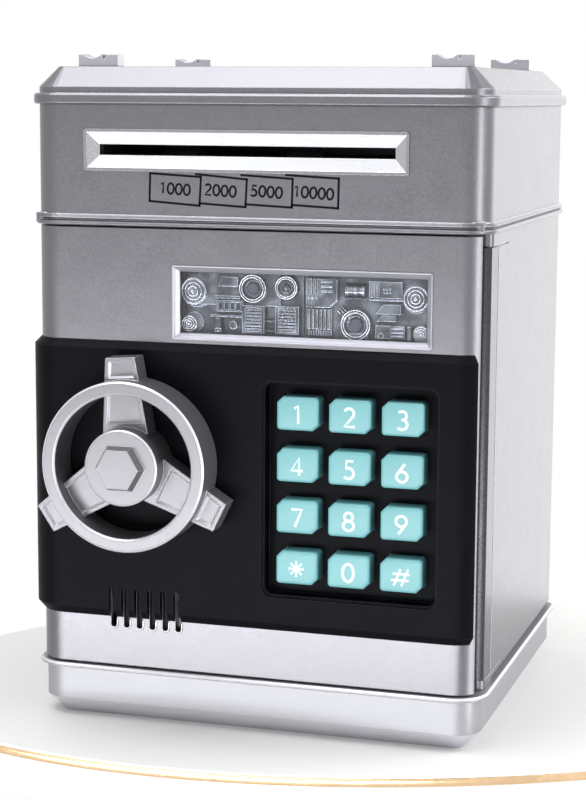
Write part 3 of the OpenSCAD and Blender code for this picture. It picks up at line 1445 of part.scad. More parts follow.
module key_cap(c, r) {
    edge = 0.8;
    color(teal) translate([pad_cx + c * key_dx, 0, pad_z + (1.5 - r) * key_dz]) {
        translate([0, floor_back_y, 0]) rotate([90, 0, 0])
            linear_extrude(floor_back_y - key_front_y - edge) polygon(key_points());
        hull() {
            translate([0, key_front_y + edge + eps, 0]) rotate([90, 0, 0])
                linear_extrude(eps) polygon(key_points());
            translate([0, key_front_y + eps, 0]) rotate([90, 0, 0])
                linear_extrude(eps) polygon(key_points(-0.5));
        }
        face_block(0, 0, key_w - 1, key_h - 1, floor_back_y - eps, key_flange_y + eps);
        face_block(0, 0, flange_w, flange_h, key_flange_y, key_flange_y + key_flange_t);
    }
}

module key_1() { key_cap(-1, 0); }
module key_2() { key_cap(0, 0); }
module key_3() { key_cap(1, 0); }
module key_4() { key_cap(-1, 1); }
module key_5() { key_cap(0, 1); }
module key_6() { key_cap(1, 1); }
module key_7() { key_cap(-1, 2); }
module key_8() { key_cap(0, 2); }
module key_9() { key_cap(1, 2); }
module key_star() { key_cap(-1, 3); }
module key_0() { key_cap(0, 3); }
module key_hash() { key_cap(1, 3); }

base_tray();
body_shell();
head_shell();
lid();
note_slot_bezel();
strike_plate();
hinge_pin_top();
hinge_pin_bottom();
casing_screws();
feeder_frame();
note_guide();
feed_motor();
note_sensor();
pinch_springs();
feeder_screws();
drive_shaft();
drive_rollers();
drive_gear();
motor_shaft();
motor_pinion();
pinch_shaft();
pinch_rollers();
door_shell();
door_liner();
door_panel();
window_bezel();
window_lens();
window_relief();
led_lamps();
key_mat();
keypad_board();
main_board();
speaker();
wheel_bush();
lock_frame();
lock_solenoid();
battery_box();
battery_cells();
battery_contacts();
door_screws();
battery_cover();
handwheel();
wheel_shaft();
latch_pinion();
wheel_clip();
latch_bolt();
solenoid_plunger();
plunger_spring();
key_1();
key_2();
key_3();
key_4();
key_5();
key_6();
key_7();
key_8();
key_9();
key_star();
key_0();
key_hash();
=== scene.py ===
"""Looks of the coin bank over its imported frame.

Sizes are written in millimetres and passed through mm(), because the scene is in metres.
X runs to the right, Y to the back and Z up.
"""
import math

import bmesh
import bpy
from mathutils import Matrix, Vector


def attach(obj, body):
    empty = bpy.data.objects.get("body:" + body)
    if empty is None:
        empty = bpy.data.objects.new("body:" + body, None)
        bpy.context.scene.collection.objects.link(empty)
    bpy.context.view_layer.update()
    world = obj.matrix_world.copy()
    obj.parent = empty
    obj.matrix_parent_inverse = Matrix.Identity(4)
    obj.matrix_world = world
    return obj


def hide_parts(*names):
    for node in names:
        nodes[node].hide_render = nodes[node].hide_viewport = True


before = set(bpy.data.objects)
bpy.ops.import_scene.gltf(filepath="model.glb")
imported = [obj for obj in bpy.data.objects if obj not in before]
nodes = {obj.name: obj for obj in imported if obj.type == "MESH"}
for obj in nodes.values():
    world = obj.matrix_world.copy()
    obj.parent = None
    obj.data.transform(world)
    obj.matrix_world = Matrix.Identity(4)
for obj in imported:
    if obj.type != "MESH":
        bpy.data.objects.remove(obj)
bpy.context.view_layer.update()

# Places and sizes shared with the solids, in millimetres
FRONT = -55.0  # plane of the casing's front
PAD = (28.0, 69.2)  # middle of the keypad
PAD_FLOOR = -51.6  # floor of the recess that the keys stand in
KEY_PITCH = (14.45, 14.0)
KEY_SIZE = (11.6, 9.1)
KEY_FRONT = -56.8
KEY_BACK = -50.3
KEY_CUT = 1.7  # of two opposite corners
FLANGE_OUT = (0.7, 1.1)  # how far a key's flange reaches past its cap, sideways and upright
FLANGE_BACK = -49.5
WINDOW = (13.6, 118.6)  # middle of the window
RELIEF = -49.8  # ground that the relief stands on
VENT_MIDDLE = -30.5
VENT_PITCH = 3.82
VENT_FOOT = 27.0
VENT_COUNT = 6
LUGS_OVER = 181.7  # just over the lid's top, where only its lugs stand

# How far print stands off the surface, in millimetres
PRINT_RISE = 0.03


def mm(*values):
    """Millimetres as a vector, or a number, in metres."""
    return values[0] / 1000 if len(values) == 1 else Vector(values) / 1000


# Shader nodes

# Sockets of the mix node for colours, which share their names with those for numbers
MIX_FIRST, MIX_LAST, MIX_RESULT = 6, 7, 2


class Signal:
    """A shader output that can be added and multiplied like a number."""

    def __init__(self, look, socket):
        self.look = look
        self.socket = socket

    def _math(self, operation, *values):
        return self.look.node("ShaderNodeMath", {"operation": operation}, dict(enumerate(values)))

    def __add__(self, other):
        return self._math("ADD", self, other)

    def __rsub__(self, other):
        return self._math("SUBTRACT", other, self)

    def __mul__(self, other):
        return self._math("MULTIPLY", self, other)

    def above(self, low, high):
        """0 below low, 1 above high, and a smooth rise between."""
        return self.look.node(
            "ShaderNodeMapRange",
            {"interpolation_type": "SMOOTHSTEP"},
            {"Value": self, "From Min": low, "From Max": high},
        )


class Look:
    """A material, its main shader and the nodes that vary it over the surface."""

    def __init__(self, name, colour, roughness, **sockets):
        self.material = bpy.data.materials.new(name)
        self.material.use_nodes = True
        self.tree = self.material.node_tree
        self.shader = self.tree.nodes["Principled BSDF"]
        self.place = self.node("ShaderNodeTexCoord", output="Object")
        self.colour = colour
        self.give(Base_Color=(*colour, 1), Roughness=roughness, **sockets)

    def node(self, kind, settings=None, inputs=None, output=0):
        """A new node with its settings and inputs; returns one output."""
        made = self.tree.nodes.new(kind)
        for name, value in (settings or {}).items():
            setattr(made, name, value)
        for name, value in (inputs or {}).items():
            if isinstance(value, Signal):
                self.tree.links.new(value.socket, made.inputs[name])
            else:
                made.inputs[name].default_value = value
        return Signal(self, made.outputs[output])

    def give(self, **sockets):
        """Sets or links the main shader's sockets."""
        for name, value in sockets.items():
            socket = self.shader.inputs[name.replace("_", " ")]
            if isinstance(value, Signal):
                self.tree.links.new(value.socket, socket)
            else:
                socket.default_value = value
        return self

    def noise(self, grain_mm, detail=2.0, stretch=(1, 1, 1)):
        """Cloudy noise of about 0.5, whose lumps are grain_mm across."""
        place = self.node("ShaderNodeMapping", None, {"Vector": self.place, "Scale": stretch})
        inputs = {"Vector": place, "Scale": 1000 / grain_mm, "Detail": detail}
        return self.node("ShaderNodeTexNoise", None, inputs)

    def cells(self, grain_mm):
        """A random shade for each small cell, as of flakes or sand."""
        inputs = {"Vector": self.place, "Scale": 1000 / grain_mm}
        colour = self.node("ShaderNodeTexVoronoi", None, inputs, "Color")
        return self.node("ShaderNodeSeparateColor", None, {"Color": colour}, "Red")

    def openness(self, reach_mm, alone=True):
        """0 in hollows, of the piece alone or of all pieces, and 1 on open faces."""
        settings = {"samples": 8, "only_local": alone}
        return self.node("ShaderNodeAmbientOcclusion", settings, {"Distance": mm(reach_mm)}, "AO")

    def rounded(self, reach_mm):
        """The surface normal, with edges rounded to reach_mm."""
        return self.node("ShaderNodeBevel", {"samples": 6}, {"Radius": mm(reach_mm)})

    def edges(self, reach_mm):
        """0 on a flat face, rising within reach_mm of an edge."""
        both = {0: self.rounded(reach_mm), 1: self.node("ShaderNodeNewGeometry", output="Normal")}
        return 1 - self.node("ShaderNodeVectorMath", {"operation": "DOT_PRODUCT"}, both, "Value")

    def facing(self, axis):
        """How far the surface looks along one of the piece's own axes, either way."""
        normal = self.node("ShaderNodeTexCoord", output="Normal")
        part = self.node("ShaderNodeSeparateXYZ", None, {"Vector": normal}, axis)
        return part * part

    def shade(self, amount, low, high):
        """The look's colour, times low where amount is 0 and high where it is 1."""
        first, last = ([min(1, c * k) for c in self.colour] + [1] for k in (low, high))
        inputs = {"Factor": amount, MIX_FIRST: first, MIX_LAST: last}
        return self.node("ShaderNodeMix", {"data_type": "RGBA"}, inputs, MIX_RESULT)

    def bumped(self, height, depth_mm, edge_mm):
        """Links a bump of that depth, over edges rounded to edge_mm, to the surface normal."""
        inputs = {"Height": height, "Distance": mm(depth_mm), "Normal": self.rounded(edge_mm)}
        return self.give(Normal=self.node("ShaderNodeBump", None, inputs))


def paint(name, colour, roughness, metallic, grain=0.25, flake=0.06, edge=0.25, lift=1.0,
          slopes=None, bright_over=None):
    """Metallic paint over moulded plastic: fine flakes, faint clouds, painted highlights on edges,
    orange peel.

    Flakes and clouds vary the colour by the share flake, and edges get a painted highlight that is
    lighter by about the share lift. With an axis as slopes, the faces that slope to it get a
    painted highlight too, such as the walls round sunk fields, and with bright_over, so does all
    that stands over that height in millimetres.
    """
    look = Look(name, colour, roughness, Metallic=metallic)
    flakes = look.cells(grain)
    clouds = look.noise(9, 3)
    peel = look.noise(1.6, 1)
    # Painted highlights: edges are made lighter, and with slopes or bright_over, sloped faces and
    # all over a height too
    painted_highlight = look.edges(edge).above(0.03, 0.2)
    if slopes:
        flat = look.facing(slopes)
        painted_highlight = painted_highlight + flat.above(0.1, 0.3) * (1 - flat.above(0.8, 0.95))
    if bright_over:
        height = look.node("ShaderNodeSeparateXYZ", None, {"Vector": look.place}, "Z")
        painted_highlight = painted_highlight + height.above(mm(bright_over), mm(bright_over + 0.2))
    speckle = (flakes * 1.2 + clouds * 0.8) * (flake / (lift + flake))
    look.give(
        Base_Color=look.shade(speckle + painted_highlight * 0.9, 1 - flake, 1 + lift),
        Roughness=flakes * 0.10 + clouds * 0.06 + (roughness - 0.08),
    )
    return look.bumped(flakes * 0.25 + peel, 0.010, edge)


def moulding(name, colour, roughness, grain=0.5, depth=0.012, spread=0.12, edge=0.2, **sockets):
    """Moulded plastic with a fine sparked grain and a faintly uneven gloss."""
    look = Look(name, colour, roughness, **sockets)
    fine = look.noise(grain, 3)
    broad = look.noise(14, 2)
    look.give(
        Base_Color=look.shade(fine * 0.5 + broad * 0.5, 1 - spread, 1 + spread),
        Roughness=broad * 0.10 + fine * 0.06 + (roughness - 0.08),
    )
    return look.bumped(fine, depth, edge)


def metal(name, colour, roughness, stretch=(1, 1, 1), grain=0.35):
    """Bare or plated metal with drawn or tumbled marks."""
    look = Look(name, colour, roughness, Metallic=1.0)
    marks = look.noise(grain, 4, stretch)
    tarnish = look.noise(7, 3)
    look.give(
        Base_Color=look.shade(marks * 0.4 + tarnish * 0.6, 0.86, 1.06),
        Roughness=marks * 0.16 + tarnish * 0.10 + (roughness - 0.13),
    )
    return look.bumped(marks, 0.006, 0.1)


def trim_paint():
    """Bright paint, with painted shade that leaves the ends, and the faces towards the front,
    greyer than the long slopes.
    """
    look = Look("trim_paint", (0.80, 0.81, 0.85), 0.22, Metallic=0.9)
    flakes = look.cells(0.18)
    # Painted shade: the ends, which look along X, and the faces towards the front are darkened
    ends = look.facing("X").above(0.05, 0.25)
    front = look.facing("Y").above(0.85, 0.97)
    look.give(
        Base_Color=look.shade((1 - ends) * (1 - front * 0.75) * 0.94 + flakes * 0.06, 0.2, 1.0),
        Roughness=flakes * 0.08 + ends * 0.1 + 0.14,
    )
    return look.bumped(flakes, 0.004, 0.15)


def relief_plating():
    """Plating with painted shade that leaves it dull and bluish in the hollows, and painted
    highlights on the edges.
    """
    look = Look("relief_plating", (0.195, 0.215, 0.30), 0.2, Metallic=1.0)
    marks = look.noise(1.4, 3)
    pools = look.noise(5, 1).above(0.4, 0.65)
    # Painted shade in the hollows, and painted highlights on the open edges
    lit = look.openness(3.5).above(0.3, 0.95)
    painted_highlight = look.edges(0.4).above(0.02, 0.15) * lit
    look.give(
        Base_Color=look.shade(lit * (pools * 0.22 + 0.08) + painted_highlight * 0.8 + marks * 0.03, 0.09, 4.2),
        Roughness=marks * 0.12 + 0.12,
    )
    return look.bumped(marks, 0.004, 0.12)


def key_plastic():
    """Pale teal plastic, with painted shade that deepens its colour where the keys stand in their
    recess.
    """
    look = Look("key_teal", (0.155, 0.40, 0.425), 0.38)
    fine = look.noise(0.4, 3)
    # Painted shade where the keys stand in their recess, near its walls and floor
    unshaded = look.openness(5, False).above(0.1, 0.7)
    look.give(
        Base_Color=look.shade(unshaded * 0.96 + fine * 0.04, 0.3, 1.0),
        Roughness=fine * 0.08 + 0.34,
    )
    return look.bumped(fine, 0.005, 0.4)


def board_green():
    """Solder mask with faint tracks under it."""
    look = Look("board_green", (0.02, 0.16, 0.07), 0.32)
    black, white = (0, 0, 0, 1), (1, 1, 1, 1)
    tracks = look.node(
        "ShaderNodeTexBrick",
        None,
        {"Vector": look.place, "Scale": 240.0, "Mortar Size": 0.06, "Color1": black,
         "Color2": black, "Mortar": white},
    )
    lines = look.node("ShaderNodeSeparateColor", None, {"Color": tracks}, "Red")
    clouds = look.noise(6, 2)
    look.give(
        Base_Color=look.shade(lines * 0.7 + clouds * 0.3, 0.8, 1.7),
        Roughness=clouds * 0.1 + 0.27,
    )
    return look.bumped(lines, 0.02, 0.1)


def clear_pane():
    """Clear polished plastic with a faint haze."""
    look = Look("clear_pane", (0.97, 0.97, 1.0), 0.03, Transmission_Weight=1.0, IOR=1.46)
    haze = look.noise(18, 2)
    return look.give(Roughness=haze * 0.004 + 0.001)


def lamp_epoxy():
    """Tinted epoxy dome of a lamp, which lets a little light through."""
    look = Look("lamp_epoxy", (0.11, 0.125, 0.175), 0.05, Transmission_Weight=0.2, IOR=1.5)
    clouds = look.noise(1.2, 2)
    return look.give(Roughness=clouds * 0.05 + 0.02)


def battery_jacket():
    """Plain printed jacket."""
    look = Look("battery_jacket", (0.05, 0.09, 0.16), 0.3, Metallic=0.4)
    clouds = look.noise(11, 3)
    return look.give(Base_Color=look.shade(clouds, 0.85, 1.15), Roughness=clouds * 0.12 + 0.24)


# Materials of the part

# Silver paint, with painted highlights along its edges
SILVER = {"colour": (0.165, 0.161, 0.177), "roughness": 0.34, "metallic": 0.9,
          "grain": 0.3, "flake": 0.11, "edge": 0.35, "lift": 2.0}
silver_paint = paint("silver_paint", **SILVER)
# The lid's lugs, which stand over LUGS_OVER, get a painted highlight all over
lid_paint = paint("lid_paint", bright_over=LUGS_OVER, **SILVER)
# Painted shade: the door liner is painted dark, so that its hinge barrel and the gap beside it
# look shaded and reflect dark
liner_paint = paint("liner_paint", (0.062, 0.061, 0.068), 0.3, 0.9, grain=0.2, flake=0.03)
# A lighter, less metallic copy of the silver paint, as painted light from the table on the tray,
# with painted highlights on its edges and on faces that slope, such as its foot
tray_lit_paint = paint("tray_lit_paint", (0.30, 0.30, 0.324), 0.42, 0.5, grain=0.3, edge=0.4, slopes="Z")
# Painted highlights on the wheel's edges and on the sloping walls round its sunk fields
wheel_paint = paint("wheel_paint", (0.185, 0.185, 0.2), 0.36, 0.6, grain=0.2, edge=0.4, lift=2.6,
                    slopes="Y")
# Black paint with a painted highlight along the panel's edges
panel_black = paint("panel_black", (0.0032, 0.0035, 0.005), 0.42, 0, grain=0.45, flake=0.12,
                    edge=0.45, lift=9)
panel_black.give(Specular_IOR_Level=0.04)
trim = trim_paint()
key_teal = key_plastic()
plating = relief_plating()
board = board_green()
pane = clear_pane()
epoxy = lamp_epoxy()
jacket = battery_jacket()
chrome = metal("chrome", (0.78, 0.80, 0.84), 0.2, grain=0.6)
plated_steel = metal("plated_steel", (0.58, 0.58, 0.57), 0.32)
drawn_steel = metal("drawn_steel", (0.55, 0.55, 0.56), 0.34, stretch=(0.08, 1, 1))
# These give roughness, grain, depth of the grain, spread of the colour and rounding of edges
frame_paint = moulding("frame_paint", (0.40, 0.40, 0.45), 0.3, 1.5, 0.002, 0.04, 0.5, Metallic=0.5)
inner_black = moulding("inner_black", (0.02, 0.02, 0.022), 0.5, 0.6, 0.02)
print_white = moulding("print_white", (0.68, 0.80, 0.80), 0.5, 0.3, 0.004, 0.02, 0.05)
print_black = moulding("print_black", (0.008, 0.008, 0.012), 0.6, 0.3, 0.004, 0.05, 0.05,
                       Specular_IOR_Level=0.05)
acetal = moulding("acetal", (0.82, 0.82, 0.79), 0.4, 0.8, 0.006, 0.03, 0.1)
rubber = moulding("roller_rubber", (0.03, 0.03, 0.032), 0.75, 0.3, 0.03)
mat_rubber = moulding("mat_rubber", (0.55, 0.58, 0.58), 0.6, 0.4, 0.01, 0.05)
cone_black = moulding("cone_black", (0.016, 0.016, 0.016), 0.7, 0.25, 0.03)


# Shaping

# How near an edge lies to the place it is picked by, in millimetres
NEAR = 0.01


def pick(piece):
    """Makes a piece the only one selected, and active."""
    bpy.ops.object.select_all(action="DESELECT")
    piece.select_set(True)
    bpy.context.view_layer.objects.active = piece
    return piece


def placed(name, data):
    """A new object in the scene."""
    made = bpy.data.objects.new(name, data)
    bpy.context.scene.collection.objects.link(made)
    return made


def settle(piece):
    """Puts a piece's place, turn and scale into its mesh."""
    pick(piece)
    bpy.ops.object.transform_apply(location=True, rotation=True, scale=True)
    return piece


def bevel_edges(piece, test, size, segments):
    """Bevels the edges whose two ends pass test, all in millimetres."""
    pick(piece)
    bpy.ops.object.mode_set(mode="EDIT")
    bpy.ops.mesh.select_mode(type="EDGE")
    bpy.ops.mesh.select_all(action="DESELECT")
    made = bmesh.from_edit_mesh(piece.data)
    for edge in made.edges:
        edge.select_set(all(test(end.co * 1000) for end in edge.verts))
    made.select_flush_mode()
    bmesh.update_edit_mesh(piece.data)
    bpy.ops.mesh.bevel(offset=mm(size), segments=segments, affect="EDGES")
    bpy.ops.object.mode_set(mode="OBJECT")


def smooth(piece, corner=32):
    """Shades a piece smooth, apart from edges sharper than corner, in degrees."""
    pick(piece)
    bpy.ops.object.shade_smooth_by_angle(angle=math.radians(corner))
    return piece


def block(name, x0, x1, y0, y1, z0, z1):
    """A cube primitive between two corners, in millimetres."""
    bpy.ops.object.select_all(action="DESELECT")
    middle = mm((x0 + x1) / 2, (y0 + y1) / 2, (z0 + z1) / 2)
    bpy.ops.mesh.primitive_cube_add(size=1, location=middle)
    piece = bpy.context.active_object
    piece.name = name
    piece.scale = mm(x1 - x0, y1 - y0, z1 - z0)
    return settle(piece)


def tube(name, lines, radius, fineness, capped=False):
    """A mesh of tubes along lines of points, in millimetres."""
    data = bpy.data.curves.new(name, "CURVE")
    data.dimensions = "3D"
    data.bevel_depth = mm(radius)
    data.bevel_resolution = fineness
    data.use_fill_caps = capped
    for line in lines:
        spline = data.splines.new("POLY")
        spline.points.add(len(line) - 1)
        for point, place in zip(spline.points, line):
            point.co = (*mm(*place), 1)
    pick(placed(name, data))
    bpy.ops.object.convert(target="MESH")
    return bpy.context.active_object


def joined(name, pieces):
    """One piece made of several."""
    pick(pieces[0])
    for piece in pieces:
        piece.select_set(True)
    bpy.ops.object.join()
    made = bpy.context.active_object
    made.name = name
    made.data.name = name
    return made


def finish(piece, look, body, slot, *replaced):
    """Gives a piece its material, the body it rides on and the nodes it stands for."""
    piece.data.materials.clear()
    piece.data.materials.append(look.material)
    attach(piece, body)
    if replaced:
        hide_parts(*replaced)
    return piece


def dress(look, *names):
    """Gives solids that stay as they are their material."""
    for name in names:
        nodes[name].data.materials.clear()
        nodes[name].data.materials.append(look.material)


# Camera and light

camera_data = bpy.data.cameras.new("camera")
camera_data.lens = 90.956
camera_data.sensor_width = 36
camera_data.clip_start = 0.02
camera = placed("camera", camera_data)
bpy.context.scene.camera = camera


def aim_camera(azimuth, elevation, roll, target, distance):
    """Looks at target from that side, turned about the line of sight by roll."""
    a, e, r = (math.radians(v) for v in (azimuth, elevation, roll))
    back = Vector((math.sin(a) * math.cos(e), -math.cos(a) * math.cos(e), math.sin(e)))
    right = Vector((math.cos(a), math.sin(a), 0))
    up = back.cross(right)
    turned = right * math.cos(r) + up * math.sin(r)
    upright = up * math.cos(r) - right * math.sin(r)
    matrix = Matrix((turned, upright, back)).transposed().to_4x4()
    matrix.translation = target + back * distance
    camera.matrix_world = matrix


aim_camera(azimuth=17.146, elevation=8.616, roll=0.329,
           target=mm(-5.15, 0, 84.904), distance=mm(597.684))


def lamp(name, place, target, size, power):
    """A white soft box that faces target, in metres and watts."""
    data = bpy.data.lights.new(name, "AREA")
    data.shape = "RECTANGLE"
    data.size, data.size_y = size
    data.energy = power
    made = placed(name, data)
    made.location = place
    made.rotation_mode = "QUATERNION"
    made.rotation_quaternion = (target - place).to_track_quat("-Z", "Y")


MIDDLE = mm(0, 0, 90)
lamp("top_box", Vector((-0.25, -0.20, 1.25)), MIDDLE, (0.8, 0.8), 12)
lamp("front_box", Vector((-0.60, -1.30, 0.80)), MIDDLE, (0.7, 0.7), 1.3)
lamp("back_box", Vector((0.45, 1.10, 0.15)), MIDDLE, (1.0, 1.0), 4)
lamp("side_box", Vector((0.95, 0.25, 0.75)), MIDDLE, (0.9, 0.9), 11.5)
lamp("corner_box", Vector((0.62, -0.19, -0.02)), mm(60, -40, 90), (0.16, 0.5), 1.8)
lamp("low_box", Vector((-0.05, -0.42, -0.045)), mm(0, -40, 10), (0.56, 0.09), 1.6)


def studio_world(lit, seen):
    """A white world, as strong as lit where it lights and as seen where it is looked at."""
    world = bpy.data.worlds.new("studio")
    bpy.context.scene.world = world
    world.use_nodes = True
    tree = world.node_tree
    background = tree.nodes["Background"]
    background.inputs["Color"].default_value = (1, 1, 1, 1)
    ray = tree.nodes.new("ShaderNodeLightPath")
    shown = ray.outputs["Is Camera Ray"]
    for output in ("Is Glossy Ray", "Is Transmission Ray"):
        either = tree.nodes.new("ShaderNodeMath")
        either.operation = "MAXIMUM"
        tree.links.new(shown, either.inputs[0])
        tree.links.new(ray.outputs[output], either.inputs[1])
        shown = either.outputs[0]
    level = tree.nodes.new("ShaderNodeMapRange")
    level.inputs["To Min"].default_value = lit
    level.inputs["To Max"].default_value = seen
    tree.links.new(shown, level.inputs["Value"])
    tree.links.new(level.outputs[0], background.inputs["Strength"])


studio_world(lit=0.5, seen=1.0)
bpy.context.scene.view_settings.view_transform = "Standard"

# Oval table, in millimetres and degrees

TABLE_MIDDLE = (24.8, 14.3)
TABLE_RADII = (149.8, 93.5)
TABLE_TURN = 22.1


def table_disc(name, top, depth, out, look):
    """A level of the table, let out by out from its edge."""
    bpy.ops.object.select_all(action="DESELECT")
    bpy.ops.mesh.primitive_cylinder_add(vertices=256, radius=1, depth=mm(depth),
                                        location=mm(*TABLE_MIDDLE, top - depth / 2))
    disc = bpy.context.active_object
    disc.name = name
    disc.scale = (*mm(*(radius + out for radius in TABLE_RADII)), 1)
    disc.rotation_euler.z = math.radians(TABLE_TURN)
    settle(disc)
    edge = disc.modifiers.new("bevel", "BEVEL")
    edge.width = mm(0.5)
    edge.segments = 3
    edge.limit_method = "ANGLE"
    bpy.ops.object.modifier_apply(modifier=edge.name)
    smooth(disc)
    disc.data.materials.append(look.material)


table_disc("table", 0, 14, 0, moulding("table", (0.70, 0.705, 0.69), 0.5, 2.0, 0.01, 0.01, 0.5))
table_disc("table_rim", -0.5, 2.2, 0.7, metal("table_rim", (0.80, 0.56, 0.34), 0.25, grain=2.0))

# The solids that stay

dress(tray_lit_paint, "base_tray")
dress(lid_paint, "lid")
dress(liner_paint, "door_liner")
dress(silver_paint, "body_shell", "head_shell", "door_shell")
dress(wheel_paint, "handwheel")
dress(trim, "note_slot_bezel")
dress(frame_paint, "window_bezel")
dress(plating, "window_relief")
dress(panel_black, "door_panel")
dress(pane, "window_lens")
dress(epoxy, "led_lamps")
dress(
    plated_steel, "strike_plate", "hinge_pin_top", "hinge_pin_bottom", "casing_screws",
    "feeder_screws", "door_screws", "pinch_springs", "lock_frame", "lock_solenoid",
    "solenoid_plunger", "plunger_spring", "battery_contacts", "wheel_clip",
)
dress(
    drawn_steel, "drive_shaft", "pinch_shaft", "motor_shaft", "wheel_shaft", "latch_bolt",
    "feed_motor",
)
dress(inner_black, "feeder_frame", "note_guide", "battery_box", "battery_cover")
dress(acetal, "drive_gear", "motor_pinion", "latch_pinion", "wheel_bush")
dress(rubber, "drive_rollers", "pinch_rollers")
dress(mat_rubber, "key_mat")
dress(board, "note_sensor", "keypad_board", "main_board")
dress(cone_black, "speaker")
dress(jacket, "battery_cells")


# Figures, drawn as strokes in a box one unit tall, about their middle line


def arc(x, z, rx, rz, start, end):
    """Points along part of an ellipse, from one angle to another, about 12 degrees apart."""
    steps = max(2, round(abs(end - start) / 12))
    angles = (math.radians(start + (end - start) * i / steps) for i in range(steps + 1))
    return [(x + rx * math.cos(a), z + rz * math.sin(a)) for a in angles]


def star_stroke(angle, reach=0.42):
    """A stroke through the middle of the star, which reaches as far on both sides."""
    u, v = reach * math.cos(math.radians(angle)), reach * math.sin(math.radians(angle))
    return [(u, 0.5 + v), (-u, 0.5 - v)]


FIGURES = {
    "0": [arc(0, 0.5, 0.31, 0.5, 90, 450)],
    "1": [[(-0.17, 0.84), (0.06, 0.98), (0.06, 0.0)]],
    "2": [arc(-0.02, 0.73, 0.27, 0.27, 160, -35) + [(-0.29, 0.0), (0.31, 0.0)]],
    "3": [arc(-0.03, 0.76, 0.24, 0.24, 140, -90) + arc(-0.04, 0.27, 0.30, 0.27, 85, -140)],
    "4": [[(0.13, 0.0), (0.13, 0.98), (-0.33, 0.27), (0.34, 0.27)]],
    "5": [[(0.25, 0.98), (-0.14, 0.98), (-0.17, 0.57)] + arc(-0.04, 0.30, 0.30, 0.30, 112, -140)],
    "6": [[(0.16, 1.0), (-0.10, 0.66)] + arc(0.0, 0.29, 0.30, 0.29, 160, 520)],
    "7": [[(-0.30, 0.98), (0.30, 0.98), (-0.10, 0.0)]],
    "8": [arc(0, 0.76, 0.23, 0.23, 90, 450), arc(0, 0.26, 0.30, 0.27, 90, 450)],
    "9": [[(-0.16, 0.0), (0.10, 0.34)] + arc(0.0, 0.71, 0.30, 0.29, -20, 340)],
    "star": [star_stroke(angle) for angle in (0, 45, 90, 135)],
    "hash": [[(-0.37, 0.0), (0.0, 0.94)], [(0.05, 0.0), (0.42, 0.94)],
             [(-0.52, 0.31), (0.46, 0.31)], [(-0.44, 0.66), (0.53, 0.66)]],
}


def strokes(name, figure, x, y, z, height, width, turn=0.0):
    """A printed figure as round-ended strokes, middle at (x, z), raised from a front at y."""
    lines = [[(u * height, 0, (v - 0.5) * height) for u, v in line] for line in FIGURES[figure]]
    piece = tube(name, lines, width / 2, 2, capped=True)
    piece.rotation_euler = (0, math.radians(turn), 0)
    piece.scale = (1, 2 * PRINT_RISE / width, 1)
    piece.location = mm(x, y, z)
    return smooth(settle(piece), 60)


# Keys, from the top left to the lower right

KEYS = ("1", "2", "3", "4", "5", "6", "7", "8", "9", "star", "0", "hash")
# Height and stroke of their figures, in millimetres, and how far these stand under the middle
NUMBER_PRINT = (4.85, 0.78)
SIGN_PRINT = {"star": (5.3, 0.58), "hash": (4.9, 0.64)}
FIGURE_DROP = 0.25
# How far the other corners and the front edges are rounded
KEY_SOFT_CORNER = 1
KEY_SOFT_EDGE = 0.8


def key_place(number):
    """Middle of a key."""
    column, row = number % 3, number // 3
    return PAD[0] + (column - 1) * KEY_PITCH[0], PAD[1] + (1.5 - row) * KEY_PITCH[1]


def key_blank():
    """A key at the middle of the pad, with two cut corners, soft edges and a flange."""
    w, h = KEY_SIZE[0] / 2, KEY_SIZE[1] / 2
    cap = block("key_blank", -w, w, KEY_FRONT, KEY_BACK, -h, h)
    cut, soft = (KEY_CUT, 1), (KEY_SOFT_CORNER, 4)
    for corner, bevel in (((-w, h), cut), ((w, -h), cut), ((w, h), soft), ((-w, -h), soft)):
        bevel_edges(
            cap, lambda p: abs(p.x - corner[0]) < NEAR and abs(p.z - corner[1]) < NEAR, *bevel)
    bevel_edges(cap, lambda p: abs(p.y - KEY_FRONT) < NEAR, KEY_SOFT_EDGE, 5)
    flange_w, flange_h = w + FLANGE_OUT[0], h + FLANGE_OUT[1]
    flange = block("key_flange", -flange_w, flange_w, KEY_BACK, FLANGE_BACK, -flange_h, flange_h)
    return smooth(joined("key_blank", [cap, flange]), 40)


blank = key_blank()
for number, figure in enumerate(KEYS):
    node = "key_" + figure
    x, z = key_place(number)
    cap = placed(node + "_cap", blank.data.copy())
    cap.location = mm(x, 0, z)
    finish(settle(cap), key_teal, node, "key_plastic", node)
    height, width = SIGN_PRINT.get(figure, NUMBER_PRINT)
    mark = strokes(node + "_figure", figure, x, KEY_FRONT, z - FIGURE_DROP, height, width)
    finish(mark, print_white, node, "white_plastic")
bpy.data.objects.remove(blank)

# Corners of the keypad's openings, filled up to the keys' cut corners by turned blocks

WEB_HALF = 1.5
WEB_GAP = 0.8
WEB_DEPTHS = (PAD_FLOOR + 0.05, PAD_FLOOR + 1.15)
web_out = (KEY_SIZE[0] + KEY_SIZE[1] - KEY_CUT * 2 + WEB_GAP) / 4 + WEB_HALF * math.sqrt(0.5)
web_slip = (KEY_SIZE[1] - KEY_SIZE[0]) / 4
webs = []
for number in range(len(KEYS)):
    x, z = key_place(number)
    for side in (-1, 1):
        web = block("web", -WEB_HALF, WEB_HALF, *WEB_DEPTHS, -WEB_HALF, WEB_HALF)
        web.rotation_euler = (0, math.radians(45), 0)
        web.location = mm(x + side * (web_out - web_slip), 0, z - side * (web_out + web_slip))
        webs.append(settle(web))
finish(joined("keypad_webs", webs), panel_black, "door", "black_plastic")

# Bright rings on the dials and round the lamps behind the window

# Place in the window, radius, height of the foot and rise over it, in millimetres
DIALS = (
    (-31.2, 2.9, 3.7, 0.5, 1.5),
    (-32.4, -6.0, 2.2, 0.5, 1.3),
    (30.7, 2.9, 3.5, 0.4, 1.5),
    (32.1, -6.5, 2.2, 0, 1.3),
)
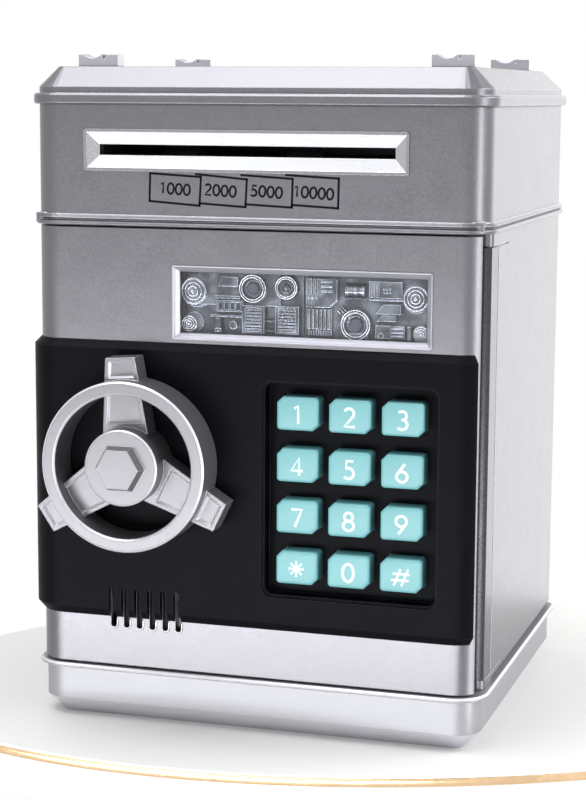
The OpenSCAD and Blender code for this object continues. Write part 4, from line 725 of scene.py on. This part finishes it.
# Place in the window, radius and rise
COLLARS = (
    (-14.3, 4.1, 3.8, 1.6),
    (14.4, -4.6, 4.1, 1.6),
    (-4.9, 4.6, 3.1, 1.4),
)
# Four rings to a dial, each higher and narrower, as a first value and a step, in shares
DIAL_HEIGHTS = (0.55, 0.15)
DIAL_WIDTHS = (0.9, -0.27)
# Rings on a collar, outer and inner, as a share of its radius and a thickness
COLLAR_RINGS = ((0.96, 0.16), (0.79, 0.13))
RING_THICK = 0.13


def ring(x, y, z, radius, thick):
    """A torus that faces the front, at a place in the window."""
    bpy.ops.object.select_all(action="DESELECT")
    bpy.ops.mesh.primitive_torus_add(
        major_segments=48, minor_segments=10, major_radius=mm(radius), minor_radius=mm(thick),
        location=mm(WINDOW[0] + x, y, WINDOW[1] + z), rotation=(math.pi / 2, 0, 0))
    return settle(bpy.context.active_object)


rings = []
for x, z, radius, foot, rise in DIALS:
    for step in range(4):
        y = RELIEF - foot - rise * (DIAL_HEIGHTS[0] + DIAL_HEIGHTS[1] * step)
        width = radius * (DIAL_WIDTHS[0] + DIAL_WIDTHS[1] * step)
        rings.append(ring(x, y, z, width, RING_THICK))
for x, z, radius, rise in COLLARS:
    for share, thick in COLLAR_RINGS:
        rings.append(ring(x, RELIEF - rise, z, radius * share, thick))
finish(smooth(joined("relief_rings", rings), 60), chrome, "door", "bright_trim")

# Painted highlight: a bright lip round the lower end of each of the speaker's slots and up its
# right side, which stands for the lit walls of the slot

LIP_BEND = 1.05
LIP_MIDDLE = 0.9
LIP_TOP = 2.5
LIP_THICK = 0.27
lip_line = [(LIP_BEND * math.cos(a), LIP_MIDDLE + LIP_BEND * math.sin(a))
            for a in (math.radians(195 + 15 * k) for k in range(12))]
lip_line.append((LIP_BEND, LIP_TOP))
highlight_lips = []
for number in range(VENT_COUNT):
    middle = VENT_MIDDLE + (number - (VENT_COUNT - 1) / 2) * VENT_PITCH
    path = [(middle + u, FRONT, VENT_FOOT + v) for u, v in lip_line]
    highlight_lips.append(tube("lip", [path], LIP_THICK, 3))
finish(smooth(joined("vent_highlight_lips", highlight_lips), 60), trim, "door", "silver_plastic")

# Printed row under the note slot: four boxes, each drawn from the right side of the one before,
# and plain numbers in them, all tilted a little

TILT = 3.3
LINE_WIDTH = 0.6
DIGIT_PITCH = 2.3
DIGIT_PRINT = (2.8, 0.58)
BOX_LINES = (
    ((-28.65, 153.14), (-14.2, 152.38)),
    ((-14.2, 152.38), (-14.61, 144.75)),
    ((-14.61, 144.75), (-28.86, 145.73)),
    ((-28.86, 145.73), (-28.65, 153.14)),
    ((-15.56, 153.13), (-1.32, 151.95)),
    ((-1.32, 151.95), (-1.66, 144.64)),
    ((-1.66, 144.64), (-14.61, 145.40)),
    ((-2.8, 153.08), (11.39, 152.33)),
    ((11.39, 152.33), (11.18, 144.81)),
    ((11.18, 144.81), (-1.66, 145.40)),
    ((9.6, 153.3), (24.0, 152.63)),
    ((24.0, 152.63), (23.83, 144.88)),
    ((23.83, 144.88), (11.18, 145.5)),
)
NUMBERS = (
    ("1000", -21.65, 149.1),
    ("2000", -8.7, 148.9),
    ("5000", 4.15, 148.85),
    ("10000", 17.05, 148.8),
)


def printed_line(start, end):
    """A straight printed line on the head's front, square at its ends."""
    run = Vector((end[0] - start[0], end[1] - start[1]))
    reach, half = run.length / 2 + LINE_WIDTH / 2, LINE_WIDTH / 2
    line = block("line", -reach, reach, FRONT - PRINT_RISE, FRONT, -half, half)
    line.rotation_euler = (0, -math.atan2(run.y, run.x), 0)
    line.location = mm((start[0] + end[0]) / 2, 0, (start[1] + end[1]) / 2)
    return settle(line)


prints = [printed_line(*ends) for ends in BOX_LINES]
for text, x, z in NUMBERS:
    for number, figure in enumerate(text):
        along = (number - (len(text) - 1) / 2) * DIGIT_PITCH
        fall = along * math.tan(math.radians(TILT))
        prints.append(strokes("digit", figure, x + along, FRONT, z - fall, *DIGIT_PRINT, TILT))
finish(joined("slot_print", prints), print_black, "casing", "black_plastic")
